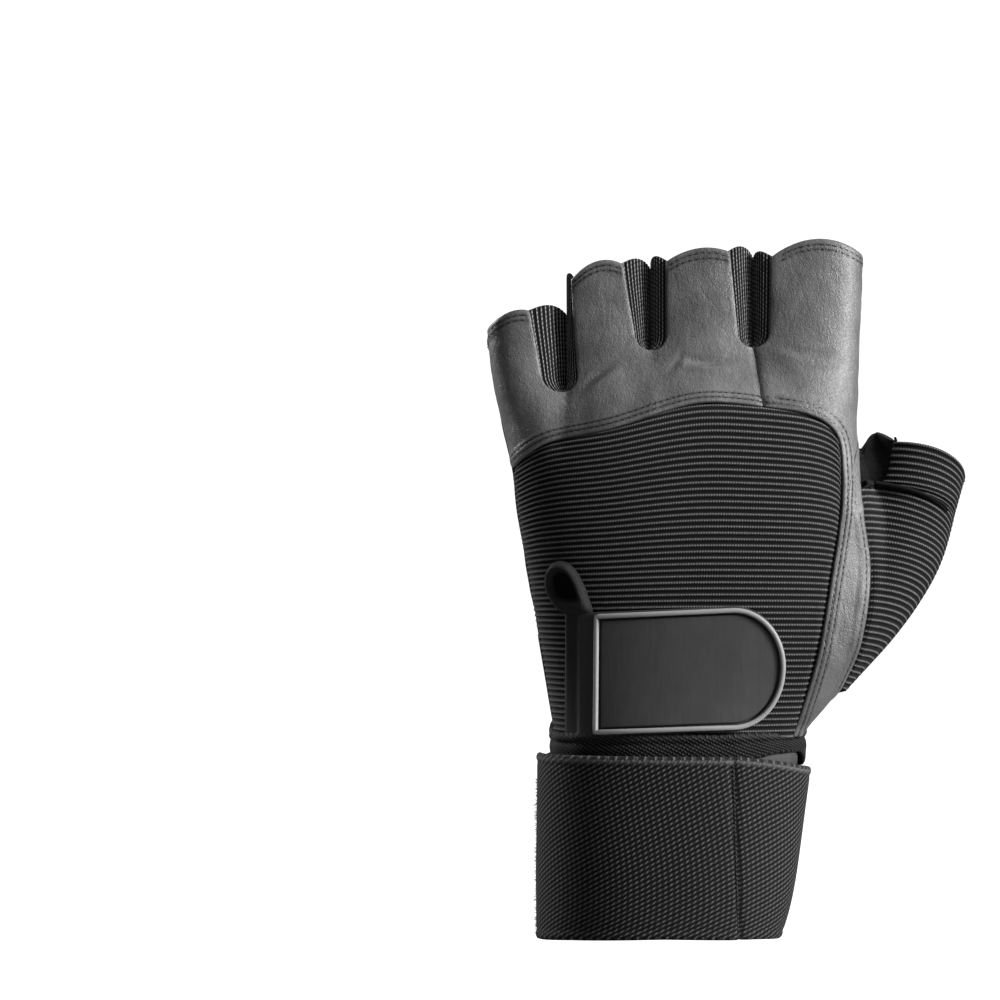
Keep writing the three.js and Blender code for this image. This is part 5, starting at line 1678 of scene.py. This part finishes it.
def strap_sheet(name, inset, tab, lift, wall, material, slot, steps=96):
    """Flat sheet of the strap; where it runs on past the plate its end is a dark sewn hem."""
    top, bottom, side, tip = strap_outline(inset, tab)
    flat = fill_edges(top, bottom, side, tip, steps, steps // 2)

    def on_hem(p, run):
        return ease((STRAP_LEFT - STRAP_HEM - p[:, 0]) / run)

    cloth_piece(name, None, "back", material, slot, wall=wall, points=lifted(flat, "back", lift),
                height=lambda p: -0.5 * on_hem(p, 0.8), values=lambda p: {"groove": 0.75 * on_hem(p, 0.5)},
                held="laid", rests=["back_stretch_panel"])


def strap_piping():
    """Moulded edging: a rounded rectangle carried round the strap's outline."""
    top, bottom, side, tip = strap_outline(0.7, 0)
    t = span(60)[:-1]
    run = np.vstack([top(t), tip(t), reverse(bottom)(t), side(1 - span(30)[:-1])])
    normals = surface_normal(run, "back")
    path = lifted(run, "back", 2.35)
    across = np.cross(unit(np.roll(path, -1, axis=0) - np.roll(path, 1, axis=0)), normals)
    angle = np.linspace(0, 2 * np.pi, 12, endpoint=False)
    wide, high = 0.72 * signed_power(np.cos(angle), 0.6), 0.95 * signed_power(np.sin(angle), 0.6)
    points = path[:, None] + wide[:, None] * across[:, None] + high[:, None] * normals[:, None]
    n, m = points.shape[:2]
    first, last = np.arange(m), np.arange(m) + (n - 1) * m
    joint = np.stack([last, first, np.roll(first, -1), np.roll(last, -1)], axis=1)
    faces = np.vstack([grid_quads(n, m, closed=True), joint])
    obj = new_mesh("strap_piping", points.reshape(-1, 3), faces[:, ::-1], PIPING)
    finish_piece(obj, "strap_piping", "strap_piping")


# Pull loop in millimetres from the strap's upper left corner: its outer line, then its hole
LOOP_OUTLINE = [(-14.4, 10.6), (-13.9, 13.2), (-11.6, 15.4), (-8.5, 15.2), (-6.0, 13.0), (-3.9, 9.4),
                (-2.4, 5.6), (-1.3, 0.2), (-7.0, -0.4), (-11.0, 1.2), (-13.2, 4.4), (-14.3, 7.8)]
LOOP_MIDDLE = (-9.3, 9.4)
LOOP_WIDTH = 4.3


def closed_line(points, count):
    """Smooth closed line through points: the cubic through each four neighbours."""
    p = np.asarray(points, float)
    t = np.linspace(0, 1, count // len(p), endpoint=False)[:, None]
    a, b, c, d = (np.roll(p, 1 - k, axis=0)[:, None] for k in range(4))
    return cubic(a, b, c, d, t).reshape(-1, 2)


def pull_loop():
    """Folded webbing loop: from its outer line, which lies on the panel, over a ridge and down into its
    middle, which is painted near black as the shade of the loop's hole. Each row is the outer line drawn in
    towards the middle."""
    corner = np.array([STRAP_LEFT, STRAP_FLOOR + STRAP_HEIGHT])
    outer = closed_line(LOOP_OUTLINE, 96) + corner
    v = np.linspace(0, 0.94, LOOP_ROWS)[:, None, None]
    flat = mix(outer[None], corner + LOOP_MIDDLE, v)
    ridge = ease(v / 0.22) * (1 - ease((v - 0.4) / 0.16))
    lift = 0.9 + 2.3 * ridge - 0.3 * bell(v - 0.2, 0.03) - 0.3 * bell(v - 0.42, 0.03)
    points = lifted(flat, "back", lift).reshape(-1, 3)
    quads = grid_quads(LOOP_ROWS, len(outer), closed=True)[:, ::-1]
    normals = vertex_normals(points, quads)
    if normals[:, 1].mean() > 0:
        quads, normals = quads[:, ::-1], -normals
    # Painted shade: the loop's middle, where its hole is, darkens through the attribute groove.
    dark = np.repeat(ease((v.ravel() - 0.46) / 0.08), len(outer))
    made, faces, source, depth = walled(points, quads, normals, 0.8)
    obj = new_mesh("pull_loop", made, faces, LOOP_CLOTH, values={"inside": depth, "groove": dark[source]})
    finish_piece(obj, "strap_webbing", "pull_loop")
    length = run_along(np.vstack([outer, outer[:1]]))[-1] * MM
    declare_sheet(obj, SMALLEST_CUT, length, LOOP_WIDTH * MM * length, "folded", ["strap_base"])


def hook_patch():
    """Hook tape past the wrap's free end: a strip of cloth with short curved fibres on its edge."""
    turn = np.linspace(-7, -0.6, 12) / WRIST_ROUND
    z = np.linspace(4, WRAP_HEIGHT - 4, 60)[::-1]
    points = ring_point(turn[None], z[:, None], WRAP_OFFSET + TURN_GROWTH * (WRAP_TURNS - 1) + 1.5)
    cloth_piece("wrap_hook_patch", None, "back", HOOK, "hook_tape", wall=1.1, points=points, held="laid",
                rests=["wrist_wrap"])


def hook_fibres():
    """Bristles along the wrap's free end: seeded short bent hairs, each a thin three-sided tube that
    bends back towards the hand with the square of its length."""
    rng = np.random.default_rng(7)
    count = 1300
    z = WRAP_HEIGHT * (1 - rng.uniform(0.08, 0.98, count) ** 0.8)
    turn = rng.uniform(-6.5, 1.5, count) / WRIST_ROUND
    root = ring_point(turn, z, rng.uniform(6.6, 8.1, count))
    way = unit(rng.normal(size=(count, 3)) * (0.35, 0.6, 0.6) + (-1.0, -0.2, 0))
    length = rng.uniform(0.5, 1.7, count)[:, None]
    s = span(4)[None, :, None]
    bend = rng.normal(size=(count, 3)) * 0.5
    path = root[:, None] + (way[:, None] * s + bend[:, None] * s**2 * 0.5) * length[:, None]
    angle = np.linspace(0, 2 * np.pi, 3, endpoint=False)
    ring = np.stack([0 * angle, np.cos(angle), np.sin(angle)], axis=1) * 0.07
    points = path[:, :, None] + ring[None, None] * (1.1 - 0.6 * s[..., None])
    tube = [list(f) for f in grid_quads(4, 3, closed=True)] + [[2, 1, 0], [9, 10, 11]]
    faces = [[k + 12 * n for k in face] for n in range(count) for face in tube]
    finish_piece(new_mesh("hook_fibres", points.reshape(-1, 3), faces, HOOK), "hook_tape")


def glove_stitching():
    """Thread of the glove in four pieces: dark rows on the back, on the palm's leathers and along
    the wrap's sewn line, and dusty rows on the suede."""
    lips = [lip_line(f, "palm", d, 0.08) for f in range(4) for d in PALM_LIP_ROWS]
    heel = seam(HEEL_SEAM)(span(200))
    border = seam(THUMB_SEAM)(np.linspace(0.03, 0.97, 200))
    leathers = [(line, "palm") for line in lips]
    leathers += [(shifted_line(heel, 1.6), "heel"), (shifted_line(heel, -1.0), "thumb"),
                 (shifted_line(border, -0.9), "thumb")]
    z = np.linspace(wrap_top(SEAM_TURN) - 1.5, wrap_bottom(SEAM_TURN) + 1.5, 200)
    turn = np.array([seam_turn(level, SEAM_OUT) for level in z])
    sewn = (ring_point(turn, z, SEAM_OUT - 0.15), np.tile((0.35, -0.94, 0.0), (200, 1)))
    pieces = (
        ("back_stitching", "back_leather", THREAD, {},
         [thread_run(line, "back", name) for name, lines in BACK_ROWS.items() for line in lines]),
        ("palm_stitching", "palm_leather", THREAD, {"length": 1.0},
         [thread_run(line, "palm", name) for line, name in leathers]),
        ("wrap_stitching", "elastic_webbing", THREAD, {"length": 1.0, "width": 0.7, "pitch": 1.25}, [sewn]),
        ("suede_stitching", "suede", PALE_THREAD, {"length": 0.9},
         [thread_run(line, "palm", "suede") for line in SUEDE_ROWS]),
    )
    for name, slot, material, sizes, runs in pieces:
        finish_piece(new_mesh(name, *stitches(runs, **sizes), material), slot)


back_knuckle_leather()
back_index_leather()
back_stretch_panel()
for gap, fingers in enumerate(("little_ring", "ring_middle", "middle_index")):
    fourchette(gap, "fourchette_" + fingers)
palm_leather()
palm_suede()
heel_leather()
thumb_palm_leather()
thumb_back_stretch()
web_suede()
wrist_wrap()
closed_ring("cuff_band", CUFF_LOW - 0.6, CUFF_HIGH + 0.5, 4.1, 2.0, FINE_ELASTIC, "elastic_webbing",
            cuff_relief)
closed_ring("cuff_facing", CUFF_LOW - 12, CUFF_HIGH, 2.2, 1.1, FACING_CLOTH, "facing_cloth", facing_relief)
strap_sheet("strap_base", 0, 8.5, 1.35, 1.3, STRAP_CLOTH, "strap_webbing")
strap_sheet("strap_plate", 2.3, 0, 2.1, 0.7, PLATE, "strap_plate")
strap_piping()
pull_loop()
hook_patch()
hook_fibres()
glove_stitching()


# Stage

def stage():
    """Pale floor that rises into a backdrop far behind the glove: level, then a quarter circle,
    then upright."""
    bend, start, low, radius = np.pi / 2 * span(16), 2600.0, -6.0, 600.0
    y = np.concatenate([np.linspace(-6000, start, 20), start + radius * np.sin(bend),
                        np.full(8, start + radius)])
    z = np.concatenate([np.full(20, low), low + radius * (1 - np.cos(bend)), np.linspace(700, 4000, 8)])
    x = np.linspace(-6000, 6000, 9)
    points = np.stack([np.tile(x, len(y)), np.repeat(y, 9), np.repeat(z, 9)], axis=1)
    pale = plain_cloth("pale floor", 0.2, 0.22, 0.9, 40.0, relief=0.0)
    shader = pale.node_tree.nodes["Principled BSDF"]
    shader.inputs["Emission Color"].default_value = (1, 1, 1, 1)
    seen = node(pale.node_tree, "LightPath").outputs["Is Camera Ray"]
    pale.node_tree.links.new(seen, shader.inputs["Emission Strength"])
    new_mesh("floor", points, grid_quads(len(y), 9)[:, ::-1], pale)


def area_light(name, place, size, power):
    """Square soft light turned to the middle of the glove."""
    data = bpy.data.lights.new(name, "AREA")
    data.shape, data.size, data.energy = "SQUARE", size, power
    light = add_object(name, data)
    light.location = place
    light.rotation_euler = (Vector((0, 0, 0.11)) - Vector(place)).to_track_quat("-Z", "Y").to_euler()


def white_room():
    """World that is white to the camera and dim as a light."""
    world = bpy.data.worlds.new("soft room")
    world.use_nodes = True
    tree = world.node_tree
    tree.nodes["Background"].inputs["Color"].default_value = (1, 1, 1, 1)
    seen = node(tree, "LightPath").outputs["Is Camera Ray"]
    tree.links.new(calc(tree, "MULTIPLY_ADD", seen, 0.95, 0.06), tree.nodes["Background"].inputs["Strength"])
    bpy.context.scene.world = world
    bpy.context.scene.view_settings.view_transform = "Standard"


def photo_camera():
    """Long lens square on to the back of the glove, as in the photo."""
    data = bpy.data.cameras.new("camera")
    data.lens, data.sensor_width, data.clip_end = 180, 36, 20
    camera = add_object("camera", data)
    camera.location = (-0.05235, -1.5, 0.1311)
    camera.rotation_euler = (np.pi / 2, 0, 0)
    bpy.context.scene.camera = camera


stage()
area_light("key", (1.95, -0.8, 0.85), 0.6, 115)
area_light("front", (0.2, -2.2, 1.0), 1.0, 3)
area_light("top", (0.5, -0.2, 1.9), 0.7, 12)
area_light("palm key", (-1.6, 1.2, 1.0), 0.7, 42)
area_light("palm fill", (0.6, 2.1, 0.8), 1.0, 8)
white_room()
photo_camera()
